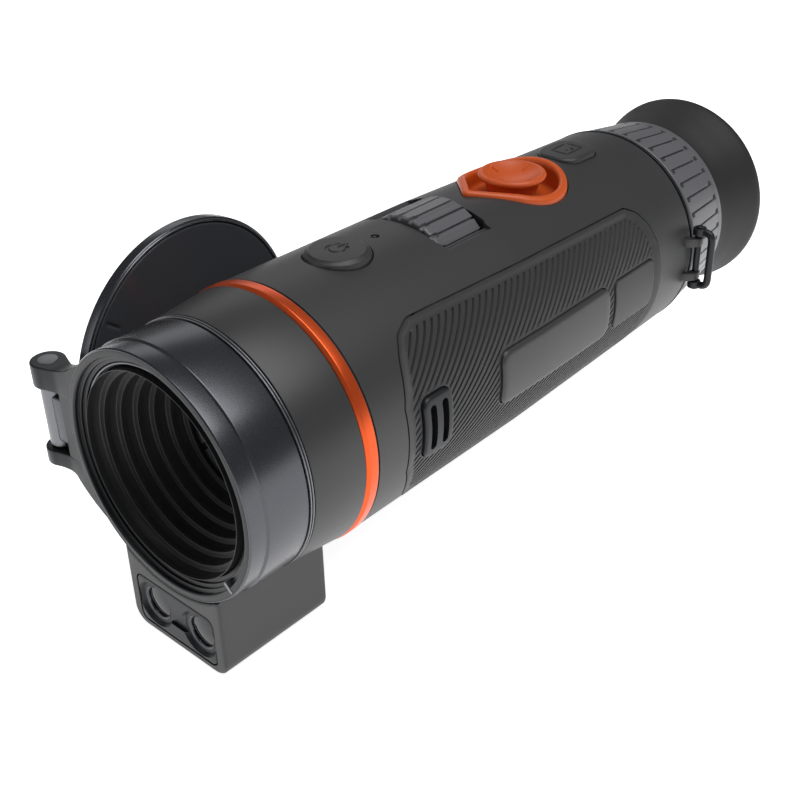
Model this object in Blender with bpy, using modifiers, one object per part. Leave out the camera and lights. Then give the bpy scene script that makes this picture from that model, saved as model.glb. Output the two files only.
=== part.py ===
"""Handheld thermal monocular with a flip-open lens cover and a rangefinder, as separate pieces.

Sizes are in millimetres from the optical axis, with the objective facing -Y and the eyepiece +Y.
The last step moves everything so that the origin is the middle of the tripod pad.
"""

import math

import bmesh
import bpy
import numpy as np
from mathutils import Matrix, Vector

MM = 0.001
GAP = 0.3  # between pieces that rest on each other
RUN = 0.08  # radial clearance of a pin that turns
BIG_STEPS = 40
SMALL_STEPS = 24
TINY_STEPS = 16

# Lengths along the optical axis, from the front to the eyecup
BRACKET_LENGTH = 4.2
BARREL_LENGTH = 12.1
GROOVE_LENGTH = 1.1
LENS_HOUSING_LENGTH = 14.4
TRIM_LENGTH = 3.4
HOUSING_LENGTH = 137.7
COLLAR_LENGTH = 0.9
DIOPTER_LENGTH = 22.6
EYECUP_LENGTH = 19.6
TURN_GAP = 0.4  # before a ring that turns

BRACKET_Y1 = BRACKET_LENGTH
BARREL_Y0 = BRACKET_Y1 + GAP
BARREL_Y1 = BARREL_Y0 + BARREL_LENGTH
GROOVE_Y0 = BARREL_Y1 + GAP
GROOVE_Y1 = GROOVE_Y0 + GROOVE_LENGTH
LENS_HOUSING_Y0 = GROOVE_Y1 + GAP
LENS_HOUSING_Y1 = LENS_HOUSING_Y0 + LENS_HOUSING_LENGTH
TRIM_Y0 = LENS_HOUSING_Y1 + GAP
TRIM_Y1 = TRIM_Y0 + TRIM_LENGTH
HOUSING_Y0 = TRIM_Y1 + GAP
HOUSING_MID_Y = HOUSING_Y0 + 63.3
HOUSING_Y1 = HOUSING_Y0 + HOUSING_LENGTH
COLLAR_Y0 = HOUSING_Y1 + GAP
COLLAR_Y1 = COLLAR_Y0 + COLLAR_LENGTH
DIOPTER_Y0 = COLLAR_Y1 + TURN_GAP
DIOPTER_Y1 = DIOPTER_Y0 + DIOPTER_LENGTH
EYECUP_Y0 = DIOPTER_Y1 + GAP
EYECUP_Y1 = EYECUP_Y0 + EYECUP_LENGTH

# Radii of the outside
BARREL_R = 31.4
BRACKET_R = BARREL_R - 0.4
GROOVE_R = BARREL_R + 0.3
HOUSING_FRONT_R = BARREL_R + 1.8
HOUSING_MID_R = HOUSING_FRONT_R - 0.4
HOUSING_REAR_R = HOUSING_FRONT_R - 2.5
HOUSING_WALL = 4.2
EYECUP_R = 30.0

# Objective
BRACKET_BORE = BRACKET_R - 5.0
HOOD_MOUTH_R = BARREL_R - 6.0
HOOD_BACK_R = 14.6
HOOD_WALL = 1.9
HOOD_Y0 = 1.0
HOOD_Y1 = LENS_HOUSING_Y0 + 7.7
HOOD_BAFFLES = 7
RETAINER_LENGTH = 2.6
OBJECTIVE_R = 11.7
OBJECTIVE_SEAT_R = OBJECTIVE_R + 1.7
OBJECTIVE_THICK = 4.5
OBJECTIVE_BULGE = 1.4
CARRIAGE_R = 12.6
CARRIAGE_WALL = 2.4
CARRIAGE_Y0 = TRIM_Y0 + 6.0
CARRIAGE_Y1 = CARRIAGE_Y0 + 10.0
GUIDE_R = CARRIAGE_R + 0.4
GUIDE_WALL = 3.0
GUIDE_Y1 = CARRIAGE_Y1 + 2.8
ARM_HALF_X = 2.3

# Lens cover and its hinge
HINGE_X = -(BRACKET_R + 9.0)
HINGE_Y = 2.6
HINGE_PIN_R = 1.5
HINGE_KNUCKLE_R = 3.2
HINGE_HALF = 8.6
HINGE_EAR = 4.2
LUG_FOOT = 3.5  # the lug widens by this much at each side where it meets the ring
COVER_R = BRACKET_R + 4.8
COVER_THICK = 3.0
COVER_RIM = 3.4
COVER_ARM_HALF = 6.5
COVER_LEAN = math.radians(4)
COVER_DROP = HINGE_Y + GAP  # from the hinge axis to the inner face, so that it clears the ring when shut

# Top controls, all on the centre line
POWER_Y = HOUSING_Y0 + 22.8
POWER_R = 8.3
LED_Y = HOUSING_Y0 + 35.8
LED_R = 0.9
WHEEL_Y = HOUSING_Y0 + 54.8
WHEEL_R = 14.4
WHEEL_Z = HOUSING_MID_R - 12.8
WHEEL_LENGTH = 16.4
WHEEL_RIBS = 24
WHEEL_SLOT = 0.9
WINDOW_HALF_X = 12.2
SCOOP_R = 60.0
SCOOP_Z = HOUSING_MID_R - 5.0  # the lowest line of the scoop round the wheel
SHAFT_R = 1.8
JOY_Y = HOUSING_Y0 + 90.3
JOY_R = 9.3
JOY_TOP_Z = HOUSING_MID_R + 0.6
JOY_PIVOT_Z = HOUSING_MID_R - 10.8
JOY_STEM_R = 3.4
RIM_R = 15.0
RIM_WIDTH = 2.5
RIM_PROUD = 1.2
RIM_APEX_Y = JOY_Y - 20.5
RIM_FLOOR_Z = HOUSING_MID_R - 8.2
CAMERA_Y = HOUSING_Y0 + 115.8
CAMERA_HALF_X = 6.6
CAMERA_HALF_Y = 7.6
CAMERA_CORNER = 4.6
BOARD_THICK = 1.2
STEM_GAP = 1.1  # between a pressed button's stem and its board

# Side grips and what is on them
GRIP_DEPTH = 1.8
GRIP_PROUD = 0.3
GRIP_Y0 = HOUSING_Y0 + 10.3
GRIP_Y1 = HOUSING_Y1 - 17.9
GRIP_TOP_Z = 24.0
PLATE_Y0 = HOUSING_Y0 + 45.3
PLATE_Y1 = PLATE_Y0 + 48.0
PLATE_HALF_Z = 7.4
ANCHOR_Y = GRIP_Y0 + 10.5
ANCHOR_HALF_Y = 5.0
ANCHOR_HALF_Z = 8.0
ANCHOR_SLOT_Y = 2.1
ANCHOR_SLOT_HALF = 0.95
PORT_Y1 = GRIP_Y1 - 3.0
PORT_Y0 = PORT_Y1 - 20.0
PORT_HALF_Z = 7.0

# Rangefinder block
RANGE_HALF_X = 16.9
RANGE_Y0 = 0.2
RANGE_Y1 = LENS_HOUSING_Y1 + 0.7
RANGE_BOTTOM_Z = -(BARREL_R + 18.1)
RANGE_CORNER = 4.0
RANGE_WALL = 2.0
RANGE_FACE_TOP_Z = -(BARREL_R + 2.0)
RANGE_LENS_X = 8.0
RANGE_LENS_Z = -(BARREL_R + 9.2)
RANGE_LENS_R = 4.7
RANGE_TROUGH = 0.9
RANGE_SCREWS = ((7.5, "range_screw_front"), (25.5, "range_screw_rear"))
SCREW_HEAD_R = 1.9

# Eyepiece
DIOPTER_FRONT_R = HOUSING_REAR_R - 0.3
DIOPTER_REAR_R = DIOPTER_FRONT_R - 2.8
DIOPTER_RIBS = 32
TUBE_R = 22.9
DIOPTER_BORE = TUBE_R + 0.5
TUBE_Y0 = HOUSING_Y1 - 11.4
TUBE_FLANGE = 3.2
CELL_R = 17.6
CELL_Y0 = HOUSING_Y1 - 2.4
CELL_LENGTH = 20.0
EYE_LENS_R = 15.4
STRAP_PIN = (HOUSING_REAR_R + 1.6, HOUSING_Y1 + 0.8, 0)
STRAP_PIN_R = 1.0
STRAP_EYE_Z = 8.4
STRAP_LUG_Z = 5.4
STRAP_WIRE_R = 1.1

# Tripod pad
PAD_Y = HOUSING_MID_Y
PAD_HALF_X = 9.0
PAD_HALF_Y = 15.0
PAD_Z = -(HOUSING_MID_R + 1.8)
INSERT_R = 4.6
INSERT_Y = 6.5  # the threaded insert sits this far behind the pad's middle

# Inside
WALL_Y = HOUSING_Y0 + 17.3  # the chassis plate behind the focusing lens
CORE_HALF = 12.0
CORE_Y1 = WALL_Y + 15.0
BATTERY_R = 9.2
BATTERY_Z = -13.2
BATTERY_Y0 = WALL_Y + 17.0
BATTERY_LENGTH = 65.0
DISPLAY_Y0 = TUBE_Y0 - 11.0
BEYOND = 10.0  # how far a cutter reaches past what it cuts

COLOURS = {
    "matt_housing": ((0.075, 0.075, 0.078), 0.55, 0.0),
    "satin_metal": ((0.05, 0.05, 0.055), 0.32, 0.8),
    "gloss_metal": ((0.03, 0.03, 0.034), 0.15, 0.6),
    "bright_metal": ((0.45, 0.45, 0.46), 0.25, 1.0),
    "orange_metal": ((0.80, 0.16, 0.04), 0.30, 0.6),
    "orange_plastic": ((0.62, 0.08, 0.02), 0.45, 0.0),
    "rubber": ((0.035, 0.035, 0.036), 0.75, 0.0),
    "grip_rubber": ((0.045, 0.045, 0.047), 0.70, 0.0),
    "gloss_plastic": ((0.01, 0.01, 0.012), 0.10, 0.0),
    "germanium": ((0.10, 0.11, 0.14), 0.08, 1.0),
    "coated_glass": ((0.08, 0.10, 0.20), 0.05, 0.0),
    "board": ((0.01, 0.10, 0.04), 0.50, 0.0),
    "brass": ((0.70, 0.50, 0.20), 0.30, 1.0),
    "cell_wrap": ((0.05, 0.12, 0.40), 0.40, 0.0),
    "led": ((0.02, 0.02, 0.02), 0.20, 0.0),
}

parts = bpy.data.collections.new("thermal_monocular")
cutters = bpy.data.collections.new("cutters")


def start():
    for obj in list(bpy.data.objects):
        bpy.data.objects.remove(obj)
    bpy.context.scene.collection.children.link(parts)
    bpy.context.scene.collection.children.link(cutters)


def put(name, mesh):
    """A new object of this mesh, made with millimetres and stored in metres."""
    mesh.transform(Matrix.Scale(MM, 4))
    obj = bpy.data.objects.new(name, mesh)
    parts.objects.link(obj)
    return obj


def bake(obj):
    """Makes the object's modifiers and its matrix part of its mesh."""
    bpy.context.view_layer.update()
    graph = bpy.context.evaluated_depsgraph_get()
    mesh = bpy.data.meshes.new_from_object(obj.evaluated_get(graph))
    mesh.transform(obj.matrix_world)
    obj.modifiers.clear()
    obj.matrix_world = Matrix.Identity(4)
    old = obj.data
    obj.data = mesh
    if isinstance(old, bpy.types.Mesh):
        bpy.data.meshes.remove(old)
    return obj


def mesh_of(builder):
    mesh = bpy.data.meshes.new("shape")
    shape = bmesh.new()
    builder(shape)
    shape.to_mesh(mesh)
    shape.free()
    return mesh


def cleaned(obj):
    shape = bmesh.new()
    shape.from_mesh(obj.data)
    bmesh.ops.remove_doubles(shape, verts=shape.verts, dist=1e-6)
    bmesh.ops.recalc_face_normals(shape, faces=shape.faces)
    shape.to_mesh(obj.data)
    shape.free()
    return obj


TURNS = {
    "Y": Matrix.Rotation(-math.pi / 2, 4, "X"),
    "Z": Matrix.Identity(4),
    "X": Matrix.Rotation(math.pi / 2, 4, "Y"),
}


def turned(name, profile, axis="Y", at=(0, 0, 0), steps=BIG_STEPS):
    """Spins a profile of (radius, distance along the axis) points, closed unless it ends on the axis."""
    mesh = bpy.data.meshes.new("profile")
    points = [(radius, 0, along) for radius, along in profile]
    on_axis = profile[0][0] == 0 and profile[-1][0] == 0
    last = len(points) - 1
    edges = [(i, i + 1) for i in range(last)] + ([] if on_axis else [(last, 0)])
    mesh.from_pydata(points, edges, [])
    obj = put(name, mesh)
    spin = obj.modifiers.new("spin", "SCREW")
    spin.steps = steps
    spin.render_steps = steps
    spin.use_merge_vertices = True
    spin.merge_threshold = 1e-6
    obj.matrix_world = Matrix.Translation(Vector(at) * MM) @ TURNS[axis]
    return cleaned(bake(obj))


def rod(name, radius, low, high, axis="Y", at=(0, 0, 0), steps=SMALL_STEPS, top_radius=None):
    """A round bar or cone from low to high along the axis through the point."""
    top = radius if top_radius is None else top_radius

    def build(shape):
        bmesh.ops.create_cone(
            shape, cap_ends=True, segments=steps, radius1=radius, radius2=top, depth=high - low
        )

    mesh = mesh_of(build)
    mesh.transform(Matrix.Translation((0, 0, (high + low) / 2)))
    mesh.transform(TURNS[axis])
    mesh.transform(Matrix.Translation(at))
    return put(name, mesh)


def block(name, low, high, bevel=0.0, segments=2):
    """A box between two corners, with all its edges rounded if asked."""
    low, high = Vector(low), Vector(high)
    size = high - low

    def build(shape):
        bmesh.ops.create_cube(shape, size=1.0)

    mesh = mesh_of(build)
    mesh.transform(Matrix.Diagonal((*size, 1)))
    mesh.transform(Matrix.Translation((low + high) / 2))
    obj = put(name, mesh)
    if bevel:
        round_edges(obj, bevel, segments)
    return obj


def round_edges(obj, width, segments=2, angle=30):
    bevel = obj.modifiers.new("rounding", "BEVEL")
    bevel.width = width * MM
    bevel.segments = segments
    bevel.limit_method = "ANGLE"
    bevel.angle_limit = math.radians(angle)
    return bake(obj)


def plate(name, outline, low, high, axis):
    """An outline of points, filled and made from low to high along the axis.

    The outline is in (x, y) for the Z axis, (y, z) for X and (x, z) for Y.
    """
    curve = bpy.data.curves.new("outline", "CURVE")
    curve.dimensions = "2D"
    curve.fill_mode = "BOTH"
    curve.extrude = (high - low) / 2
    spline = curve.splines.new("POLY")
    spline.points.add(len(outline) - 1)
    for point, (u, v) in zip(spline.points, outline):
        point.co = (u, v, 0, 1)
    spline.use_cyclic_u = True
    source = bpy.data.objects.new("outline", curve)
    parts.objects.link(source)
    bpy.context.view_layer.update()
    graph = bpy.context.evaluated_depsgraph_get()
    mesh = bpy.data.meshes.new_from_object(source.evaluated_get(graph))
    bpy.data.objects.remove(source)
    mesh.transform(Matrix.Translation((0, 0, (high + low) / 2)))
    mesh.transform(
        {
            "Z": Matrix.Identity(4),
            "X": Matrix(((0, 0, 1, 0), (1, 0, 0, 0), (0, 1, 0, 0), (0, 0, 0, 1))),
            "Y": Matrix(((1, 0, 0, 0), (0, 0, 1, 0), (0, 1, 0, 0), (0, 0, 0, 1))),
        }[axis]
    )
    return cleaned(put(name, mesh))


def rounded(half_u, half_v, radius, at=(0, 0), steps=4):
    """The outline of a rectangle with rounded corners."""
    points = []
    for corner, (su, sv) in enumerate(((1, 1), (-1, 1), (-1, -1), (1, -1))):
        for step in range(steps + 1):
            angle = (corner + step / steps) * math.pi / 2
            points.append(
                (
                    at[0] + su * (half_u - radius) + radius * math.cos(angle),
                    at[1] + sv * (half_v - radius) + radius * math.sin(angle),
                )
            )
    return points


def combine(obj, operation, other):
    """A live Boolean with the other object, which becomes a helper that isn't rendered."""
    modifier = obj.modifiers.new(operation.lower(), "BOOLEAN")
    modifier.operation = operation
    modifier.solver = "EXACT"
    modifier.object = other
    parts.objects.unlink(other)
    cutters.objects.link(other)
    other.hide_render = True
    other.display_type = "WIRE"
    return obj


def cut(obj, *others):
    for other in others:
        combine(obj, "DIFFERENCE", other)
    return obj


def join(obj, *others):
    for other in others:
        combine(obj, "UNION", other)
    return obj


def finish(obj, finish_name, pivot=None, smooth=40):
    """Gives a piece its material, its shading and, if it moves, an origin on its joint's axis."""
    colour, roughness, metallic = COLOURS[finish_name]
    material = bpy.data.materials.new(obj.name)
    material.use_nodes = True
    shader = material.node_tree.nodes["Principled BSDF"]
    shader.inputs["Base Color"].default_value = (*colour, 1)
    shader.inputs["Roughness"].default_value = roughness
    shader.inputs["Metallic"].default_value = metallic
    obj.data.materials.clear()
    obj.data.materials.append(material)
    obj.data.shade_smooth()
    obj.data.set_sharp_from_angle(angle=math.radians(smooth))
    if pivot is not None:
        centre = Vector(pivot) * MM
        obj.data.transform(Matrix.Translation(-centre))
        obj.location = centre
    return obj


def housing_r(y):
    """The outside radius of the main housing at this distance."""
    return float(
        np.interp(
            y,
            (HOUSING_Y0, HOUSING_MID_Y, HOUSING_Y1),
            (HOUSING_FRONT_R, HOUSING_MID_R, HOUSING_REAR_R),
        )
    )


def shell_ring(name, inner, outer, y0=HOUSING_Y0, y1=HOUSING_Y1):
    """A ring whose radii are measured outwards from the housing's own surface."""
    stations = [y0, HOUSING_MID_Y, y1] if y0 < HOUSING_MID_Y < y1 else [y0, y1]
    outside = [(housing_r(y) + outer, y) for y in reversed(stations)]
    inside = [(housing_r(y) + inner, y) for y in stations]
    return turned(name, outside + inside)


def grown(outline, by):
    """The outline with every point moved away from its middle by this much along both directions."""
    points = np.array(outline)
    middle = (points.max(axis=0) + points.min(axis=0)) / 2
    half = (points.max(axis=0) - points.min(axis=0)) / 2
    return [tuple(p) for p in middle + (points - middle) * (1 + by / half)]


def side_panel(name, outline, inner, outer, side=1):
    """A piece of the housing's side between two depths, with this outline in (y, z)."""
    near, far = HOUSING_FRONT_R - 19.2, HOUSING_FRONT_R + BEYOND
    low, high = (near, far) if side > 0 else (-far, -near)
    across = [y for y, _ in outline]
    ring = shell_ring(name, inner, outer, min(across) - 2, max(across) + 2)
    return combine(ring, "INTERSECT", plate(name + "_outline", outline, low, high, "X"))


GRIP_UPPER = [
    (GRIP_Y0, GRIP_TOP_Z - 16),
    (GRIP_Y0 + 3, GRIP_TOP_Z - 6),
    (GRIP_Y0 + 6, GRIP_TOP_Z - 1.8),
    (GRIP_Y0 + 11, GRIP_TOP_Z),
    (GRIP_Y1 - 8.5, GRIP_TOP_Z - 2.4),
    (GRIP_Y1 - 4.5, GRIP_TOP_Z - 4.5),
    (GRIP_Y1 - 1.5, GRIP_TOP_Z - 8.5),
    (GRIP_Y1, GRIP_TOP_Z - 14),
]
GRIP_OUTLINE = GRIP_UPPER + [(y, -z) for y, z in reversed(GRIP_UPPER)]
PLATE_OUTLINE = rounded(
    (PLATE_Y1 - PLATE_Y0) / 2, PLATE_HALF_Z, 3, at=((PLATE_Y0 + PLATE_Y1) / 2, 0)
)
PORT_OUTLINE = rounded((PORT_Y1 - PORT_Y0) / 2, PORT_HALF_Z, 2, at=((PORT_Y0 + PORT_Y1) / 2, 0))
ANCHOR_OUTLINE = rounded(ANCHOR_HALF_Y, ANCHOR_HALF_Z, 2.5, at=(ANCHOR_Y, 0))


def teardrop(radius, apex_y, steps=24):
    """The joystick rim's outline: a circle drawn out to a point towards the front."""
    reach = JOY_Y - apex_y
    start_angle = math.acos(radius / reach)
    points = []
    for step in range(steps + 1):
        angle = -math.pi / 2 + start_angle + step * (2 * math.pi - 2 * start_angle) / steps
        points.append((radius * math.cos(angle), JOY_Y + radius * math.sin(angle)))
    nose = 1.6
    for angle in (1.15, 1.4, 1.5708, 1.74, 1.99):
        points.append((-nose * math.cos(angle), apex_y + nose - nose * math.sin(angle)))
    return points


def lens(name, radius, y0, y1, front_bulge, rear_bulge, finish_name, at=(0, 0, 0), steps=SMALL_STEPS):
    """A round lens with a cylindrical edge from y0 to y1 and domed faces."""
    share = (1.0, 0.66, 0.33)
    front = [(radius * s, y0 - front_bulge * (1 - s * s)) for s in reversed(share)]
    rear = [(radius * s, y1 + rear_bulge * (1 - s * s)) for s in share]
    profile = [(0, y0 - front_bulge)] + front + rear + [(0, y1 + rear_bulge)]
    return finish(turned(name, profile[::-1], at=at, steps=steps), finish_name)


def cover_and_hinge():
    ring = turned(
        "cover_bracket",
        [
            (BRACKET_R, BRACKET_Y1),
            (BRACKET_R, 0.8),
            (BRACKET_R - 0.8, 0),
            (BRACKET_R - 3.4, 0),
            (BRACKET_BORE, 1.4),
            (BRACKET_BORE, BRACKET_Y1),
        ][::-1],
    )
    reach = HINGE_HALF + HINGE_EAR
    lug = plate(
        "lug",
        [
            (HINGE_X - 2.6, reach),
            (3 - BRACKET_R, reach + LUG_FOOT),
            (3 - BRACKET_R, -reach - LUG_FOOT),
            (HINGE_X - 2.6, -reach),
        ],
        0.0,
        BRACKET_Y1,
        "Y",
    )
    barrel_part = rod("lug_round", HINGE_KNUCKLE_R, -reach, reach, "Z", (HINGE_X, HINGE_Y, 0))
    clear = rod("lug_bore", BRACKET_BORE + 0.6, -1, BRACKET_Y1 + 1, steps=BIG_STEPS)
    knuckle_room = block(
        "knuckle_room",
        (HINGE_X - 6, HINGE_Y - 5, -HINGE_HALF),
        (-BRACKET_R - 1.6, HINGE_Y + 6, HINGE_HALF),
    )
    far = reach + BEYOND
    hole = rod("pin_hole", HINGE_PIN_R + RUN, -far, far, "Z", (HINGE_X, HINGE_Y, 0), TINY_STEPS)
    join(ring, lug, barrel_part)
    cut(ring, clear, knuckle_room, hole)
    finish(ring, "satin_metal")
    pin = rod(
        "cover_pin", HINGE_PIN_R, -reach - 0.4, reach + 0.6, "Z", (HINGE_X, HINGE_Y, 0), TINY_STEPS
    )
    finish(pin, "bright_metal")

    # Modelled shut in front of the ring, then turned to where it rests open.
    shut_y = HINGE_Y - COVER_DROP
    outer_y = shut_y - COVER_THICK
    frame = turned(
        "lens_cover",
        [
            (COVER_R, shut_y),
            (COVER_R, outer_y + 0.7),
            (COVER_R - 0.7, outer_y),
            (COVER_R - 2.2, outer_y),
            (COVER_R - 2.2, outer_y + 1.1),
            (0, outer_y + 1.1),
            (0, shut_y - 0.9),
            (COVER_R - COVER_RIM, shut_y - 0.9),
            (COVER_R - COVER_RIM, shut_y),
        ][::-1],
    )
    arm_low, arm_high = outer_y + 0.2, shut_y - 0.1
    frame_arm = block(
        "cover_arm",
        (HINGE_X, arm_low, -COVER_ARM_HALF),
        (-COVER_R + 1.4, arm_high, COVER_ARM_HALF),
    )
    knuckle = rod(
        "cover_knuckle",
        HINGE_KNUCKLE_R - 0.2,
        GAP - HINGE_HALF,
        HINGE_HALF - GAP,
        "Z",
        (HINGE_X, HINGE_Y, 0),
        TINY_STEPS,
    )
    bore = rod("cover_bore", HINGE_PIN_R + RUN, -far, far, "Z", (HINGE_X, HINGE_Y, 0), TINY_STEPS)
    frame_web = block(
        "cover_web",
        (HINGE_X - 2.4, arm_low, -COVER_ARM_HALF),
        (HINGE_X + 2.4, HINGE_Y, COVER_ARM_HALF),
    )
    face = rod(
        "cover_face", COVER_R - 2.5, outer_y - 0.1, outer_y + 0.8, steps=BIG_STEPS
    )
    seal = turned(
        "cover_seal",
        [
            (COVER_R - 3.7, shut_y - 0.1),
            (COVER_R - 3.7, shut_y - 0.6),
            (COVER_R - 9.5, shut_y - 0.6),
            (COVER_R - 9.5, shut_y - 0.1),
        ][::-1],
    )
    to_open = (
        Matrix.Translation(Vector((HINGE_X, HINGE_Y, 0)) * MM)
        @ Matrix.Rotation(math.pi / 2 + COVER_LEAN, 4, "Z")
        @ Matrix.Translation(Vector((-HINGE_X, -HINGE_Y, 0)) * MM)
    )
    for piece in (frame, frame_arm, frame_web, knuckle, bore, face, seal):
        piece.data.transform(to_open)
    join(frame, frame_arm, frame_web, knuckle)
    cut(frame, bore)
    hinge = (HINGE_X, HINGE_Y, 0)
    finish(frame, "gloss_metal", hinge)
    finish(face, "gloss_plastic", hinge)
    finish(seal, "rubber", hinge)


def objective():
    room_r = HOOD_MOUTH_R + HOOD_WALL + GAP
    barrel = [
        (BARREL_R, BARREL_Y1),
        (BARREL_R, BARREL_Y0 + 0.5),
        (BARREL_R - 0.5, BARREL_Y0),
        (room_r, BARREL_Y0),
        (room_r, BARREL_Y1),
    ]
    finish(turned("objective_barrel", barrel[::-1]), "gloss_metal")
    groove = [(GROOVE_R, GROOVE_Y1), (GROOVE_R, GROOVE_Y0), (room_r, GROOVE_Y0), (room_r, GROOVE_Y1)]
    finish(turned("groove_ring", groove[::-1]), "bright_metal")

    step_y = (HOOD_Y1 - HOOD_Y0) / HOOD_BAFFLES
    step_r = (HOOD_MOUTH_R - HOOD_BACK_R) / HOOD_BAFFLES
    inside = []
    for step in range(HOOD_BAFFLES):
        radius = HOOD_MOUTH_R - step * step_r
        inside.append((radius, HOOD_Y0 + step * step_y))
        inside.append((radius, HOOD_Y0 + (step + 1) * step_y))
    outside = [
        (HOOD_MOUTH_R + HOOD_WALL, HOOD_Y1),
        (HOOD_MOUTH_R + HOOD_WALL, BARREL_Y0),
        (BRACKET_BORE - GAP, BARREL_Y0),
        (BRACKET_BORE - GAP, HOOD_Y0),
    ]
    finish(turned("baffle_hood", inside + outside), "matt_housing", smooth=25)
    retainer_r = HOOD_BACK_R + step_r - GAP
    retainer = [
        (retainer_r, HOOD_Y1),
        (retainer_r, HOOD_Y1 - RETAINER_LENGTH),
        (OBJECTIVE_R + GAP, HOOD_Y1 - RETAINER_LENGTH),
        (OBJECTIVE_R + GAP, HOOD_Y1),
    ]
    finish(turned("objective_retainer", retainer[::-1], steps=SMALL_STEPS), "satin_metal")
    lens_y0 = HOOD_Y1 + 1.0
    lens_y1 = lens_y0 + OBJECTIVE_THICK
    lens("objective_lens", OBJECTIVE_R, lens_y0, lens_y1, OBJECTIVE_BULGE, -1.0, "germanium")

    seat_r = HOUSING_FRONT_R - 3.2
    seat_y = HOOD_Y1 + 0.8
    body = turned(
        "lens_housing",
        [
            (GROOVE_R, LENS_HOUSING_Y0),
            (HOUSING_FRONT_R - 0.1, LENS_HOUSING_Y1),
            (seat_r, LENS_HOUSING_Y1),
            (seat_r, TRIM_Y1),
            (GUIDE_R + GUIDE_WALL, TRIM_Y1),
            (GUIDE_R + GUIDE_WALL, GUIDE_Y1),
            (GUIDE_R, GUIDE_Y1),
            (GUIDE_R, TRIM_Y0),
            (OBJECTIVE_SEAT_R, TRIM_Y0),
            (OBJECTIVE_SEAT_R, seat_y),
            (room_r, seat_y),
            (room_r, LENS_HOUSING_Y0),
        ],
    )
    slot_half = ARM_HALF_X + 0.5
    slot = block(
        "arm_slot",
        (-slot_half, CARRIAGE_Y0 - 0.2, 5),
        (slot_half, CARRIAGE_Y1 + 0.2, GUIDE_R + BEYOND),
    )
    cut(body, slot)
    finish(body, "matt_housing")
    trim = [
        (seat_r + GAP, TRIM_Y1),
        (seat_r + GAP, TRIM_Y0),
        (HOUSING_FRONT_R - 0.4, TRIM_Y0),
        (HOUSING_FRONT_R + 0.2, TRIM_Y0 + 0.7),
        (HOUSING_FRONT_R + 0.2, TRIM_Y1),
    ]
    finish(turned("trim_ring", trim), "orange_metal")

    carriage = turned(
        "focus_carriage",
        [
            (CARRIAGE_R, CARRIAGE_Y1),
            (CARRIAGE_R, CARRIAGE_Y0),
            (CARRIAGE_R - CARRIAGE_WALL, CARRIAGE_Y0),
            (CARRIAGE_R - CARRIAGE_WALL, CARRIAGE_Y1),
        ][::-1],
        steps=SMALL_STEPS,
    )
    arm_y = CARRIAGE_Y0 + 3
    arm = block(
        "carriage_arm", (-ARM_HALF_X, arm_y, CARRIAGE_R - 1.6), (ARM_HALF_X, arm_y + 4, WHEEL_Z + 3.4)
    )
    arm_hole = rod(
        "carriage_hole",
        SHAFT_R + RUN,
        CARRIAGE_Y0 - BEYOND,
        CARRIAGE_Y1 + BEYOND,
        "Y",
        (0, 0, WHEEL_Z),
        TINY_STEPS,
    )
    join(carriage, arm)
    cut(carriage, arm_hole)
    finish(carriage, "satin_metal")
    focus_r = CARRIAGE_R - CARRIAGE_WALL - GAP
    lens("focus_lens", focus_r, CARRIAGE_Y0 + 4, CARRIAGE_Y0 + 7, 0.8, 0.8, "germanium")


# An ear for the strap pin, as distances from the housing's rear edge
STRAP_LUG = [
    (-2.2, -4.4),
    (2.3, -2.9),
    (2.9, -1.0),
    (2.9, 1.6),
    (0.5, 2.5),
    (0.2, 2.5),
    (0.2, -0.8),
    (-2.2, -0.8),
]


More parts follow.
